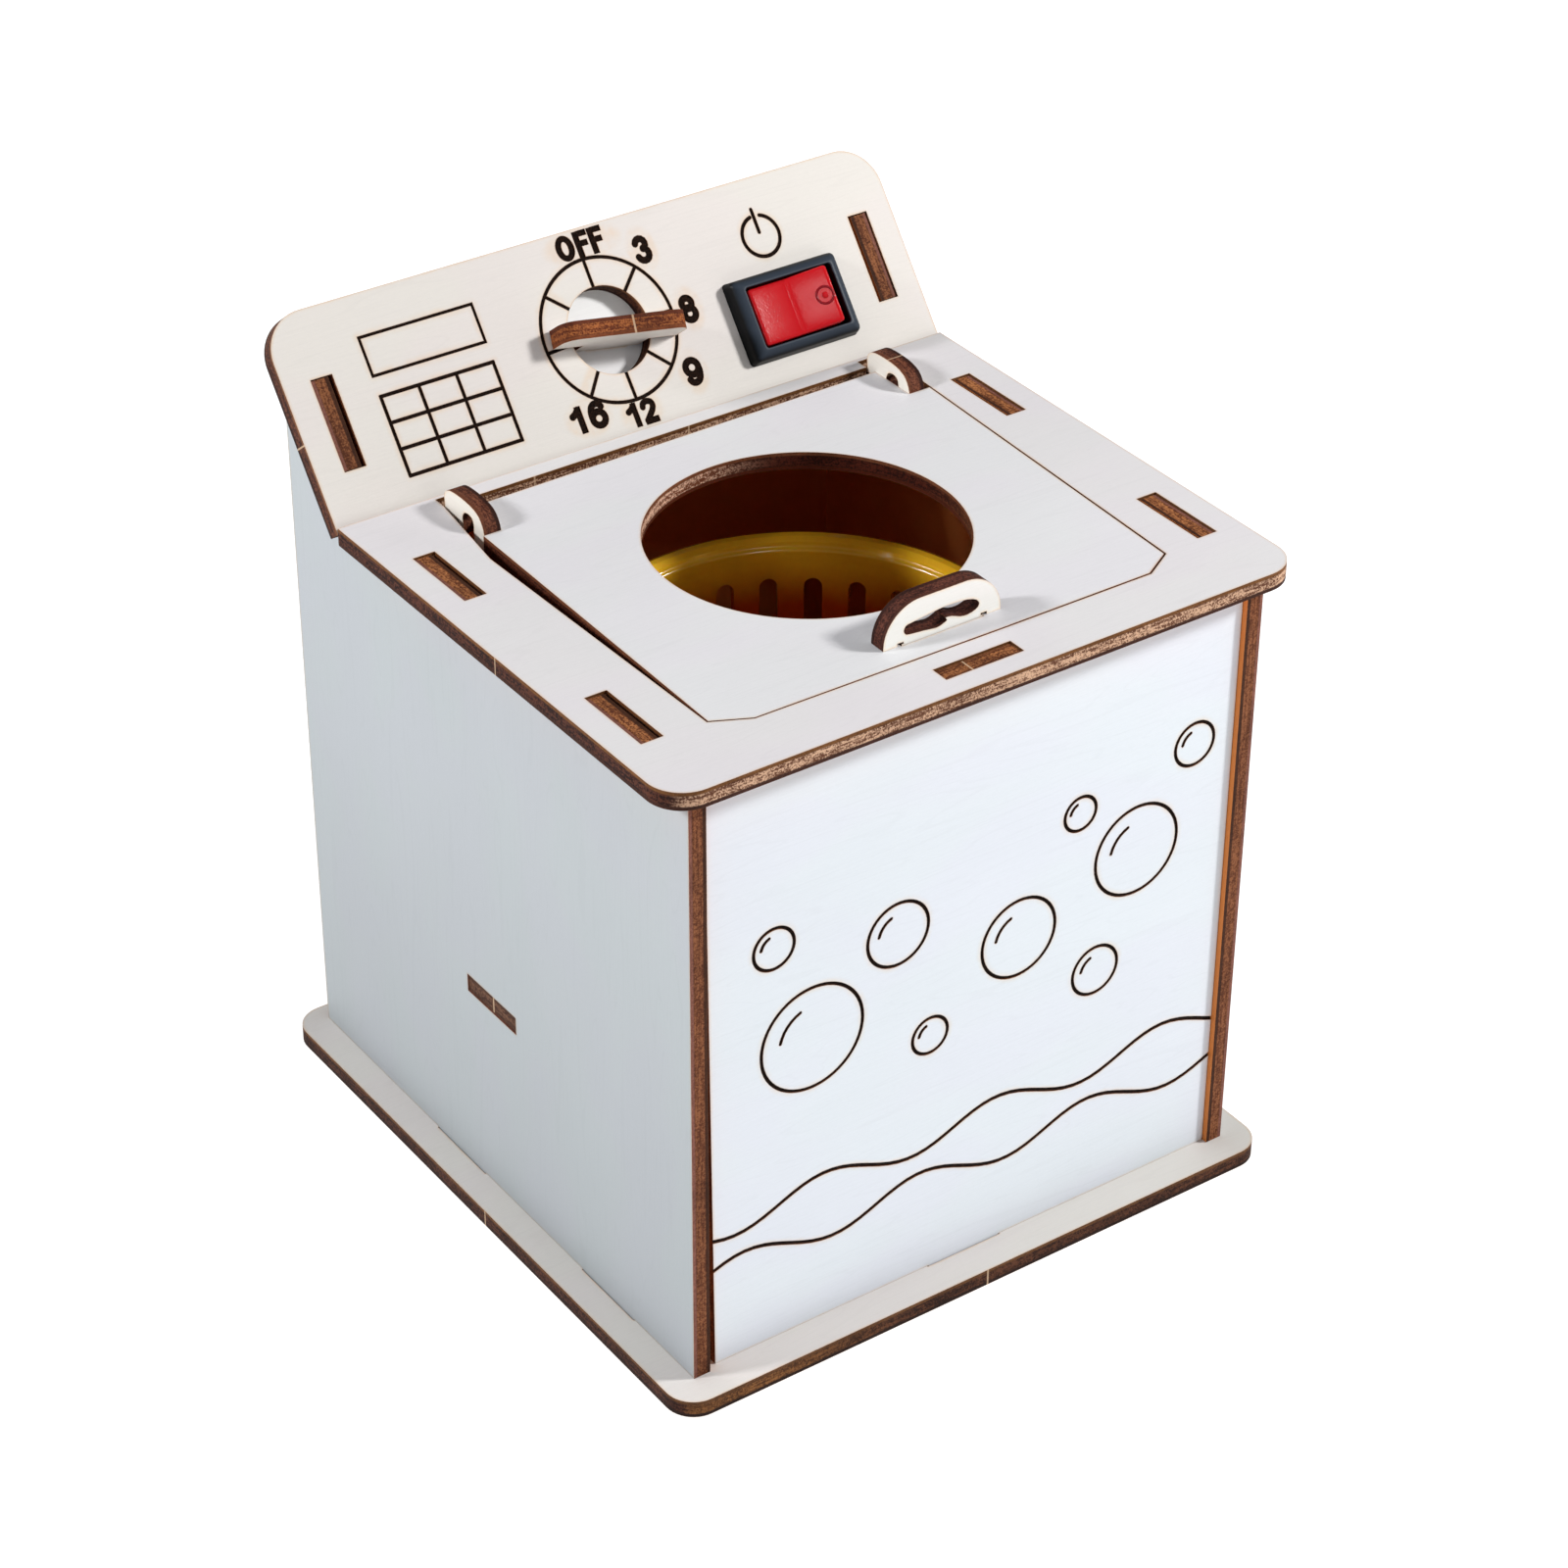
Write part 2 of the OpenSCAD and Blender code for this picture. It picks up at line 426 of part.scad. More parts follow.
module motor_shaft() color("silver") translate([0, drum_y, motor_top - 24.8]) cylinder(r = 1, h = 34.6, $fn = 32);
module motor_rotor() color("peru") translate([0, drum_y, 0]) difference() {
    union() {
        translate([0, 0, motor_top - 15]) linear_extrude(9) difference() {
            circle(5.5);
            for (i = [0 : 2]) rotate(i * 120) translate([-0.7, 3.6]) square([1.4, 3]);
        }
        translate([0, 0, motor_top - 16.6]) cylinder(r = 4.6, h = 12.2);
        translate([0, 0, motor_top - 22.4]) cylinder(r = 1.9, h = 7, $fn = 32);
    }
    translate([0, 0, motor_top - 24]) cylinder(r = 1, h = 30, $fn = 32);
}
module motor_magnets() color("dimgray") translate([0, drum_y, motor_top - 15.5]) linear_extrude(10) difference() {
    can_shape(9.45, 6.95);
    circle(6.1, $fn = 64);
    square([7, 30], center = true);
    square([13.4, 30], center = true);
}
module motor_terminals() color("goldenrod") translate([0, drum_y, 0]) for (s = [-1, 1]) {
    translate([-1.2, s * 6.3 - 0.25, motor_top - 28]) cube([2.4, 0.5, 7]);
    // brush, bearing on the commutator
    translate([-0.6, s > 0 ? 1.95 : -6.3, motor_top - 21.6]) cube([1.2, 4.35, 0.6]);
}
module motor_bracket() color("ghostwhite") translate([0, drum_y + 4.5, 0]) rotate([90, 0, 0]) difference() {
    linear_extrude(9) polygon([[-20, motor_top], [-10.15, motor_top], [-10.15, motor_top - 24.7], [10.15, motor_top - 24.7], [10.15, motor_top],
        [20, motor_top], [20, motor_top - 1.8], [11.95, motor_top - 1.8], [11.95, motor_top - 26.4], [-11.95, motor_top - 26.4],
        [-11.95, motor_top - 1.8], [-20, motor_top - 1.8]]);
    translate([0, motor_top - 25.5, 4.5]) rotate([90, 0, 0]) translate([0, 0, -4]) cylinder(r = 3, h = 8);
    for (s = [-1, 1]) translate([s * 15.5, motor_top - 1, 4.5]) rotate([90, 0, 0]) translate([0, 0, -4]) cylinder(r = 1.25, h = 8, $fn = 32);
}
module bracket_screws() color("silver") for (s = [-1, 1]) translate([s * 15.5, drum_y, motor_top - 1.8]) difference() {
    rotate_extrude($fn = 32) polygon([[0, -1.4], [1, -1.3], [1.9, -0.8], [2.1, 0], [1.1, 0], [1.1, 4.1], [0, 4.6]]);
    translate([-1.3, -0.22, -2]) cube([2.6, 0.44, 1.3]);
    translate([-0.22, -1.3, -2]) cube([0.44, 2.6, 1.3]);
}

// ---- battery ----
box_y0 = 21.6;
box_z = ply + 0.8;
module mounting_pad() color("gray") slotted(-24, box_y0 + 4, 24, box_y0 + 27.4, ply, 0.8);
module battery_box() color("dimgray") difference() {
    slotted(-29.5, box_y0, 29.5, box_y0 + 31.4, box_z, 14.4);
    slotted(-28.3, box_y0 + 1.2, 28.3, box_y0 + 15.2, box_z + 1.4, 20);
    slotted(-28.3, box_y0 + 16.2, 28.3, box_y0 + 30.2, box_z + 1.4, 20);
    // finger notch in the middle wall and lowered long walls
    slotted(-18, box_y0 - 1, 18, box_y0 + 33, box_z + 10, 20);
    // lead holes
    for (y = [7, 24.4]) translate([-27, box_y0 + y, box_z + 11.2]) rotate([0, -90, 0]) cylinder(r = 0.9, h = 5, $fn = 24);
    // notch in the middle wall for the link between the cells
    slotted(27.5, box_y0 + 14, 28.3, box_y0 + 17, box_z + 3.8, 20);
}
// one AA cell lying along X, its button towards +X
module cell() rotate([0, 90, 0]) rotate_extrude($fn = 48) polygon([[0, -24.6], [6.4, -24.6], [6.9, -24.2], [6.9, 23.4], [6.3, 23.9], [2.7, 23.9], [2.7, 25.1], [0, 25.1]]);
module aa_cells() color("steelblue") {
    translate([-1.3, box_y0 + 8.2, box_z + 1.4 + 6.95]) rotate([0, 0, 180]) cell();
    translate([1.3, box_y0 + 23.2, box_z + 1.4 + 6.95]) cell();
}
module battery_contacts() color("silver") {
    // a plate at each end, with a cone spring against each flat end
    translate([-28.3, box_y0 + 3.2, box_z + 2.4]) cube([0.5, 10, 10]);
    translate([27.8, box_y0 + 18.2, box_z + 2.4]) cube([0.5, 10, 10]);
    translate([27.8, box_y0 + 3.2, box_z + 2.4]) cube([0.5, 10, 10]);
    translate([27.8, box_y0 + 12, box_z + 5.4]) cube([0.5, 7.4, 4]);
    translate([-28.3, box_y0 + 18.2, box_z + 2.4]) cube([0.5, 10, 10]);
    translate([27.8, box_y0 + 8.2, box_z + 8.35]) rotate([0, -90, 0]) cylinder(r1 = 4, r2 = 2.6, h = 4.5, $fn = 32);
    translate([-27.8, box_y0 + 23.2, box_z + 8.35]) rotate([0, 90, 0]) cylinder(r1 = 4, r2 = 2.6, h = 4.5, $fn = 32);
}

// ---- leads ----
lead_r = 0.7;
function tang(q, i) = unit(q[min(i + 1, len(q) - 1)] - q[max(i - 1, 0)]);
// carries the first side vector along the route, so the tube doesn't twist
function carry(q, i) = i == 0 ? unit(cross(tang(q, 0), [0.3, 0.5, 0.81])) :
    let (u = carry(q, i - 1), t = tang(q, i)) unit(u - t * (u * t));
module lead(p, n) {
    q = route(p, n);
    pts = [for (i = [0 : len(q) - 1]) let (u = carry(q, i), v = cross(tang(q, i), u))
        for (k = [0 : 7]) q[i] + lead_r * (cos(k * 45) * u + sin(k * 45) * v)];
    m = len(q);
    polyhedron(pts, concat([[for (k = [7 : -1 : 0]) k]], [[for (k = [0 : 7]) (m - 1) * 8 + k]],
        [for (i = [0 : m - 2]) for (k = [0 : 7]) [i * 8 + k, i * 8 + (k + 1) % 8, (i + 1) * 8 + (k + 1) % 8, (i + 1) * 8 + k]]));
}
// the two switch tabs end here, in the row's frame
function tab(s) = let (x = sw_x + s * 4.5, y = sw_s, z = -15.5)
    [x, panel_y + y * sin(panel_lean) - z * cos(panel_lean), deck_z + y * cos(panel_lean) + z * sin(panel_lean)];
module lead_battery_switch() color("red") lead([
    [-28.3, box_y0 + 7, box_z + 11.2], [-31.5, box_y0 + 7, box_z + 11.2], [-37.5, 31, 17], [-43, 37, 22], [-46.4, 45, 29],
    [-47, 50, 38], [-47, 50.6, 46], [-47, 50.8, 72], [-47, 50.8, 98], [-44.5, 50.6, 109], [-36, 50.2, 113.5], [-18, 50, 114],
    [4, 50, 113.5], [18, 48.5, 108], [28, 47.5, 104], [35, 49.5, 104.5], tab(1) + [0, 0.1, -0.5]], 2);
module lead_switch_motor() color("red") lead([
    tab(-1) + [0, 0.1, -0.5], [25, 51.3, 108.6], [16, 51.3, 109.4], [-10, 50.8, 109.6], [-34, 49.4, 110], [-43.5, 48.5, 106.6],
    [-46.3, 47.6, 96], [-46.6, 47.4, 70], [-46.6, 47.2, 44], [-46, 46.3, 34], [-44, 36, 28.6], [-38, 14, 24], [-24, 4, 16],
    [-11, -0.6, 9.6], [-3.4, -2.1, 7.9], [-0.4, -2.3, 8.6], [0, -2.3, 10.5]], 2);
module lead_battery_motor() color("black") lead([
    [-28.3, box_y0 + 24.4, box_z + 11.2], [-31.5, box_y0 + 24.4, box_z + 11.2], [-36, 44, 13], [-38.5, 36, 9], [-37, 22, 6.5],
    [-28, 6, 5.6], [-16, -8, 5.4], [-6, -14.4, 6], [-1, -14.9, 7.4], [0, -14.9, 10.5]], 2);

base_plate();
side_panel_left();
side_panel_right();
front_panel();
back_panel();
deck_panel();
control_panel();
motor_shelf();
lid_ledge();
lid_panel();
lid_handle();
hinge_hook_left();
hinge_hook_right();
hinge_pins();
knob_grip();
knob_disc();
switch_housing();
switch_rocker();
switch_contact();
switch_terminals();
drum();
drum_hub();
hub_screws();
motor_can();
motor_end_cap();
motor_bushing();
motor_shaft();
motor_rotor();
motor_magnets();
motor_terminals();
motor_bracket();
bracket_screws();
battery_box();
battery_contacts();
aa_cells();
mounting_pad();
lead_battery_switch();
lead_switch_motor();
lead_battery_motor();
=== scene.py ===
import math

import bmesh
import bpy
from mathutils import Matrix, Vector


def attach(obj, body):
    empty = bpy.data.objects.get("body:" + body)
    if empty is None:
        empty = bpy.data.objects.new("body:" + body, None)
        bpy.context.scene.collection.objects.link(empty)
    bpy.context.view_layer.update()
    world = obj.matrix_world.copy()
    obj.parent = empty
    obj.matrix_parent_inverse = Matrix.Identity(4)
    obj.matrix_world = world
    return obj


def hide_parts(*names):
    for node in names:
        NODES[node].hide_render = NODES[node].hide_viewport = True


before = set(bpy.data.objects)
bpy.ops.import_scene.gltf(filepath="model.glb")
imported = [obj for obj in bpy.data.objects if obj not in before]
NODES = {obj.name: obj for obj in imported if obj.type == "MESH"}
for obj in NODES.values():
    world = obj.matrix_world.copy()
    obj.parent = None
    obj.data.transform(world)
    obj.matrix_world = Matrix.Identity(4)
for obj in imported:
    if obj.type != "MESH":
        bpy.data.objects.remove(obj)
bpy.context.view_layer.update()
scene = bpy.context.scene
MM = 0.001

# ------------------------------------------------------------------ geometry of the plates
LEAN = math.radians(38.2)
PANEL_N = Vector((0.0, -math.cos(LEAN), math.sin(LEAN)))      # outward from the control panel
PANEL_U = Vector((0.0, math.sin(LEAN), math.cos(LEAN)))       # up its slope
PANEL_P = Vector((0.0, 33.9, 112.4))                          # its foot on the deck, mm
KNOB = Vector((-0.3, 0, 0)) + PANEL_P + PANEL_U * 15.4        # on the axis of the knob, in the panel's face
TURN = math.radians(-9.4)
GRIP_N = Vector((1, 0, 0)) * -math.sin(TURN) + PANEL_U * math.cos(TURN)
GRIP_A = Vector((1, 0, 0)) * math.cos(TURN) + PANEL_U * math.sin(TURN)


# ------------------------------------------------------------------ camera
def make_camera():
    right = Vector((0.81892667, -0.57388238, 0.00425661))
    down = Vector((-0.31374697, -0.45390089, -0.8339885))
    ahead = Vector((0.48054339, 0.68163993, -0.5517654))
    data = bpy.data.cameras.new("camera")
    data.sensor_width = 36.0
    data.lens = 4192.44 / 1600 * 36.0
    data.clip_start, data.clip_end = 0.05, 30
    cam = bpy.data.objects.new("camera", data)
    cam.matrix_world = Matrix((
        (right.x, -down.x, -ahead.x, -0.314098),
        (right.y, -down.y, -ahead.y, -0.449580),
        (right.z, -down.z, -ahead.z, 0.425098),
        (0, 0, 0, 1)))
    scene.collection.objects.link(cam)
    scene.camera = cam


make_camera()


# ------------------------------------------------------------------ node helper
def srgb(r, g, b):
    def lin(v):
        v /= 255
        return v / 12.92 if v <= 0.04045 else ((v + 0.055) / 1.055) ** 2.4
    return (lin(r), lin(g), lin(b), 1.0)


class Mat:
    """A material and short names for its nodes."""

    def __init__(self, name):
        self.mat = bpy.data.materials.new(name)
        self.mat.use_nodes = True
        self.t = self.mat.node_tree
        self.t.nodes.clear()
        self.out = self.t.nodes.new("ShaderNodeOutputMaterial")
        self.bsdf = self.t.nodes.new("ShaderNodeBsdfPrincipled")
        self.t.links.new(self.bsdf.outputs[0], self.out.inputs[0])
        self.co = self.t.nodes.new("ShaderNodeTexCoord")
        self.p = self.vec("SCALE", self.co.outputs["Object"], scale=1000.0)
        self.n = self.co.outputs["Normal"]

    def put(self, socket, value):
        if isinstance(value, bpy.types.NodeSocket):
            self.t.links.new(value, socket)
        elif value is not None:
            if isinstance(value, Vector):
                value = tuple(value)
            socket.default_value = value

    def set(self, **values):
        for key, value in values.items():
            self.put(self.bsdf.inputs[key.replace("_", " ")], value)
        return self

    def math(self, op, a, b=None, c=None, clamp=False):
        n = self.t.nodes.new("ShaderNodeMath")
        n.operation, n.use_clamp = op, clamp
        for i, v in enumerate((a, b, c)):
            self.put(n.inputs[i], v)
        return n.outputs[0]

    def add(self, a, b): return self.math("ADD", a, b)
    def sub(self, a, b): return self.math("SUBTRACT", a, b)
    def mul(self, a, b): return self.math("MULTIPLY", a, b)
    def mini(self, a, b): return self.math("MINIMUM", a, b)
    def maxi(self, a, b): return self.math("MAXIMUM", a, b)
    def abs(self, a): return self.math("ABSOLUTE", a)

    def vec(self, op, a, b=None, scale=None):
        n = self.t.nodes.new("ShaderNodeVectorMath")
        n.operation = op
        self.put(n.inputs[0], a)
        if b is not None:
            self.put(n.inputs[1], b)
        if scale is not None:
            self.put(n.inputs[3], scale)
        return n.outputs[1] if op in ("DOT_PRODUCT", "LENGTH", "DISTANCE") else n.outputs[0]

    def dot(self, a, b): return self.vec("DOT_PRODUCT", a, b)

    def join(self, x, y, z=0.0):
        n = self.t.nodes.new("ShaderNodeCombineXYZ")
        for i, v in enumerate((x, y, z)):
            self.put(n.inputs[i], v)
        return n.outputs[0]

    def xyz(self, v):
        n = self.t.nodes.new("ShaderNodeSeparateXYZ")
        self.put(n.inputs[0], v)
        return n.outputs

    def mix(self, f, a, b, blend="MIX"):
        n = self.t.nodes.new("ShaderNodeMix")
        n.data_type, n.blend_type = "RGBA", blend
        self.put(n.inputs[0], f)
        self.put(n.inputs[6], a)
        self.put(n.inputs[7], b)
        return n.outputs[2]

    def lerp(self, f, a, b):
        n = self.t.nodes.new("ShaderNodeMix")
        self.put(n.inputs[0], f)
        self.put(n.inputs[2], a)
        self.put(n.inputs[3], b)
        return n.outputs[0]

    def step(self, x, lo, hi, a=0.0, b=1.0):
        n = self.t.nodes.new("ShaderNodeMapRange")
        n.interpolation_type = "SMOOTHSTEP"
        for i, v in enumerate((x, lo, hi, a, b)):
            self.put(n.inputs[i], v)
        return n.outputs[0]

    def noise(self, v, scale=1.0, detail=2.0, rough=0.5, distort=0.0):
        n = self.t.nodes.new("ShaderNodeTexNoise")
        self.put(n.inputs["Vector"], v)
        self.put(n.inputs["Scale"], scale)
        self.put(n.inputs["Detail"], detail)
        self.put(n.inputs["Roughness"], rough)
        self.put(n.inputs["Distortion"], distort)
        return n.outputs[0]

    def voronoi(self, v, scale=1.0, feature="F1"):
        n = self.t.nodes.new("ShaderNodeTexVoronoi")
        n.feature = feature
        self.put(n.inputs["Vector"], v)
        self.put(n.inputs["Scale"], scale)
        return n.outputs[0]

    def bump(self, height, distance, strength=1.0, normal=None):
        n = self.t.nodes.new("ShaderNodeBump")
        n.inputs["Strength"].default_value = strength
        n.inputs["Distance"].default_value = distance
        self.put(n.inputs["Height"], height)
        if normal is not None:
            self.put(n.inputs["Normal"], normal)
        return n.outputs[0]

    def bevel_normal(self, radius, samples=6):
        n = self.t.nodes.new("ShaderNodeBevel")
        n.samples = samples
        n.inputs["Radius"].default_value = radius
        v = self.t.nodes.new("ShaderNodeVectorTransform")
        v.vector_type, v.convert_from, v.convert_to = "NORMAL", "WORLD", "OBJECT"
        self.t.links.new(n.outputs[0], v.inputs[0])
        return v.outputs[0]

    # distances in a plate's own plane, mm
    def ring(self, x, y, cx, cy, r):
        return self.abs(self.sub(self.vec("LENGTH", self.join(self.sub(x, cx), self.sub(y, cy))), r))

    def frame_line(self, x, y, x0, y0, x1, y1):
        qx = self.sub(self.abs(self.sub(x, (x0 + x1) / 2)), (x1 - x0) / 2)
        qy = self.sub(self.abs(self.sub(y, (y0 + y1) / 2)), (y1 - y0) / 2)
        outer = self.vec("LENGTH", self.join(self.maxi(qx, 0.0), self.maxi(qy, 0.0)))
        inner = self.mini(self.maxi(qx, qy), 0.0)
        return self.abs(self.add(outer, inner))

    def comb(self, x, y, x0, dx, count, y0, y1):
        """nearest of count + 1 lines across x, drawn from y0 to y1"""
        k = self.math("ROUND", self.math("DIVIDE", self.sub(x, x0), dx))
        k = self.mini(self.maxi(k, 0.0), float(count))
        d = self.abs(self.sub(self.sub(x, x0), self.mul(k, dx)))
        over = self.maxi(self.maxi(self.sub(y, y1), self.sub(y0, y)), 0.0)
        return self.vec("LENGTH", self.join(d, over))

    def blob(self, x, y, cx, cy, rx, ry):
        v = self.join(self.math("DIVIDE", self.sub(x, cx), rx), self.math("DIVIDE", self.sub(y, cy), ry))
        return self.mul(self.sub(self.vec("LENGTH", v), 1.0), min(rx, ry))


# ------------------------------------------------------------------ plywood
BURNT = srgb(58, 30, 20)
CHAR = srgb(30, 17, 13)
BROWN = srgb(132, 82, 52)
TAN = srgb(186, 134, 92)


def plywood(name, normal, offset, grain, face, edge=(BURNT, BROWN), burn_and_lighting_zones=(), rims=(None, None), inner=None, marks=(), engraved=False,
            halo=None, char=0.45, core_shift=(0.0, 0.0), painted_shade_ramp=None, contrast=1.0):
    """normal: outward from the show face, whose plane is normal.p = offset. grain: along the face's grain.
    edge: dark and light of a cut edge. zones: (direction, dark, light) for edges that face one way, partly uneven
    charring and partly painted light and shade for how the lamps fall on that side, optionally with (axis, from, to)
    over which it fades back to edge. rims: colours of the edge's two outer veneers, show side first.
    fade: (axis, from, to, gain) darkens the face along an axis, as painted shade."""
    m = Mat(name)
    n, g = Vector(normal).normalized(), Vector(grain).normalized()
    h = n.cross(g)
    c = m.dot(m.n, n)
    depth = m.sub(offset, m.dot(m.p, n))                    # 0 on the show face, 3 on the far one
    along, across = m.dot(m.p, g), m.dot(m.p, h)
    is_face = m.step(m.abs(c), 0.5, 0.86)

    # grain of the face: long fibres, pores and clouds
    fibre = m.noise(m.join(m.mul(along, 0.09), m.mul(across, 2.6), m.mul(depth, 0.2)), 1.0, 3.0, 0.6, 0.25)
    weave = m.noise(m.join(m.mul(along, 1.1), m.mul(across, 3.2), 3.0), 1.0, 2.0, 0.55, 0.6)
    cloud = m.noise(m.join(m.mul(along, 0.022), m.mul(across, 0.05), 7.0), 1.0, 2.0, 0.5, 0.4)
    figure = m.noise(m.join(m.mul(along, 0.012), m.mul(across, 0.16), 11.0), 1.0, 1.0, 0.5, 1.2)
    rings = m.math("SINE", m.mul(figure, 55.0))
    shade = m.add(m.mul(m.sub(fibre, 0.5), 0.055), m.mul(m.sub(weave, 0.5), 0.045))
    shade = m.add(shade, m.mul(m.step(rings, 0.86, 1.0), -0.018))
    shade = m.add(m.add(shade, m.mul(m.sub(cloud, 0.5), 0.05)), 1.0)
    # painted shade: the face darkens along the given axis
    if painted_shade_ramp is not None:
        axis, lo, hi, gain = painted_shade_ramp
        shade = m.mul(shade, m.step(m.dot(m.p, Vector(axis)), lo, hi, 1.0, gain))
    wood = m.mix(1.0, face, m.join(shade, shade, shade), "MULTIPLY")
    # patches of a cooler and a warmer white
    cool = m.noise(m.join(m.mul(along, 0.035), m.mul(across, 0.06), 19.0), 1.0, 1.0, 0.4, 0.2)
    wood = m.mix(m.mul(m.step(cool, 0.42, 0.62), 0.5), wood, m.mix(1.0, wood, (0.975, 1.0, 1.0, 1.0), "MULTIPLY"))
    wood = m.mix(m.mul(m.step(cool, 0.58, 0.4), 0.5), wood, m.mix(1.0, wood, (0.985, 0.975, 1.012, 1.0), "MULTIPLY"))

    # scorch beside every cut
    soft = m.step(m.sub(1.0, m.dot(m.bevel_normal(0.001, 6), m.n)), 0.002, 0.16)
    patch = m.noise(m.vec("SCALE", m.p, scale=0.35), 1.0, 2.0, 0.6)
    glow = m.mul(soft, m.step(patch, 0.3, 0.62, 0.5, 1.0))
    if halo is not None:
        d = halo(m, along, across)
        near = m.step(d, 1.3, 0.25)
        glow = m.maxi(glow, m.mul(near, m.step(patch, 0.32, 0.66, 0.15, 0.62)))
    wood = m.mix(m.mul(glow, 0.7), wood, m.mix(1.0, wood, srgb(255, 230, 200), "MULTIPLY"))
    lip = m.step(m.sub(1.0, m.dot(m.bevel_normal(0.00032, 4), m.n)), 0.03, 0.2)
    wood = m.mix(m.mul(lip, 0.5), wood, srgb(178, 130, 90))

    # the cut edge: veneers charred unevenly, with streaks that follow the sheet; sides facing some ways are also made
    # lighter or darker as painted light and shade, and the arris carries a painted highlight
    streak = m.noise(m.join(m.mul(along, 0.16), m.mul(across, 0.16), m.mul(depth, 2.4)), 1.0, 2.0, 0.6)
    speck = m.noise(m.vec("SCALE", m.p, scale=3.4), 1.0, 4.0, 0.68)
    fleck = m.noise(m.vec("SCALE", m.p, scale=1.5), 1.0, 3.0, 0.6)
    burn = m.noise(m.vec("SCALE", m.p, scale=0.14), 1.0, 3.0, 0.6)
    dark, light = edge
    # edges facing the given directions take their own dark and light: partly uneven charring, partly painted light and
    # shade for how the lamps fall on those sides
    for zone in burn_and_lighting_zones:
        w = m.step(m.dot(m.n, Vector(zone[0]).normalized()), 0.5, 0.94)
        if len(zone) > 3:
            axis, lo, hi = zone[3]
            w = m.mul(w, m.step(m.dot(m.p, Vector(axis)), lo, hi, 1.0, 0.12))
        dark, light = m.mix(w, dark, zone[1]), m.mix(w, light, zone[2])
    grainy = m.add(m.add(m.mul(speck, 0.5), m.mul(streak, 0.28)), m.mul(fleck, 0.22))
    core = m.mix(m.step(grainy, 0.5 - 0.07 / contrast, 0.5 + 0.09 / contrast), dark, light)
    outer = m.mix(m.step(grainy, 0.42, 0.6), dark, m.mix(0.45, dark, light))
    top = m.mix(m.step(grainy, 0.4, 0.6), m.mix(1.0, rims[0], (0.62, 0.6, 0.58, 1), "MULTIPLY"), rims[0]) if rims[0] else outer
    low = m.mix(m.step(grainy, 0.4, 0.62), m.mix(1.0, rims[1], (0.6, 0.58, 0.56, 1), "MULTIPLY"), rims[1]) if rims[1] else outer
    side = m.mix(m.step(depth, 0.72 + core_shift[0], 0.5 + core_shift[0]), core, top)
    side = m.mix(m.step(depth, 2.3 - core_shift[1], 2.5 - core_shift[1]), side, low)
    glue = m.mul(m.step(m.abs(m.sub(m.abs(m.sub(depth, 1.5)), 0.9)), 0.12, 0.02), 0.3)
    side = m.mix(glue, side, CHAR)
    side = m.mix(m.mul(m.step(burn, 0.45, 0.66), char), side, m.mix(1.0, side, (0.3, 0.24, 0.22, 1), "MULTIPLY"))
    # painted highlight: a lighter line along the arris, where a rounded edge would catch the light
    painted_arris_highlight = m.step(m.sub(1.0, m.dot(m.bevel_normal(0.00022, 4), m.n)), 0.05, 0.28)
    side = m.mix(m.mul(painted_arris_highlight, 0.35), side, srgb(150, 104, 68))
    for point, direction, width in marks:
        q = m.vec("SUBTRACT", m.p, point)
        on = m.mul(m.step(m.abs(m.dot(q, direction)), width + 0.07, width - 0.04), m.step(m.vec("LENGTH", q), 4.2, 3.8))
        side = m.mix(m.mul(on, 0.62), side, srgb(222, 190, 156))

    if inner is not None:
        fibres = m.mix(m.step(cloud, 0.35, 0.65), inner, m.mix(1.0, inner, (0.94, 0.93, 0.92, 1.0), "MULTIPLY"))
        back = m.mul(m.step(c, -0.6, -0.8), m.step(depth, 2.5, 2.7))
        wood = m.mix(back, wood, fibres)
    if engraved:
        pit = m.mul(m.step(depth, 0.05, 0.12), m.mul(m.step(depth, 1.0, 0.9), m.step(c, 0.5, 0.86)))
        ash = m.mix(m.step(speck, 0.4, 0.66), srgb(14, 7, 5), srgb(44, 26, 17))
        wood = m.mix(pit, wood, ash)
    colour = m.mix(is_face, side, wood)
    dull = m.mul(pit, is_face) if engraved else 0.0
    m.set(Base_Color=colour, Specular_IOR_Level=0.14)
    m.set(Roughness=m.maxi(dull, m.lerp(is_face, 0.72, m.add(0.5, m.mul(m.sub(fibre, 0.5), 0.18)))))
    height = m.lerp(is_face, m.add(m.mul(speck, 1.2), m.mul(streak, 0.8)), m.add(m.mul(fibre, 0.22), m.mul(weave, 0.12)))
    m.set(Normal=m.bump(height, 0.00014, 0.6))
    return m.mat


def assign(node, material):
    o = NODES[node]
    o.data.materials.clear()
    o.data.materials.append(material)
    for p in o.data.polygons:
        p.material_index = 0


MAROON = srgb(226, 136, 70)
RAW = srgb(196, 160, 118)

# engraving, in the panel's own x and s
LABELS = [(0.2, 30.5, 5.2, 2.4), (10.1, 26.9, 1.9, 2.6), (14.3, 15.6, 1.9, 2.6), (11.1, 5.8, 1.9, 2.6), (-0.2, 2.0, 3.0, 2.3), (-9.6, 3.9, 3.2, 2.5)]
BUBBLES = [(-30, 58, 9.2), (-14.5, 70.5, 5.6), (-37, 77, 3.6), (-8, 49, 3.3), (8.5, 60.5, 7), (24, 48, 4.4), (31, 68, 8), (19.5, 79, 3), (41.5, 83.5, 3.8)]


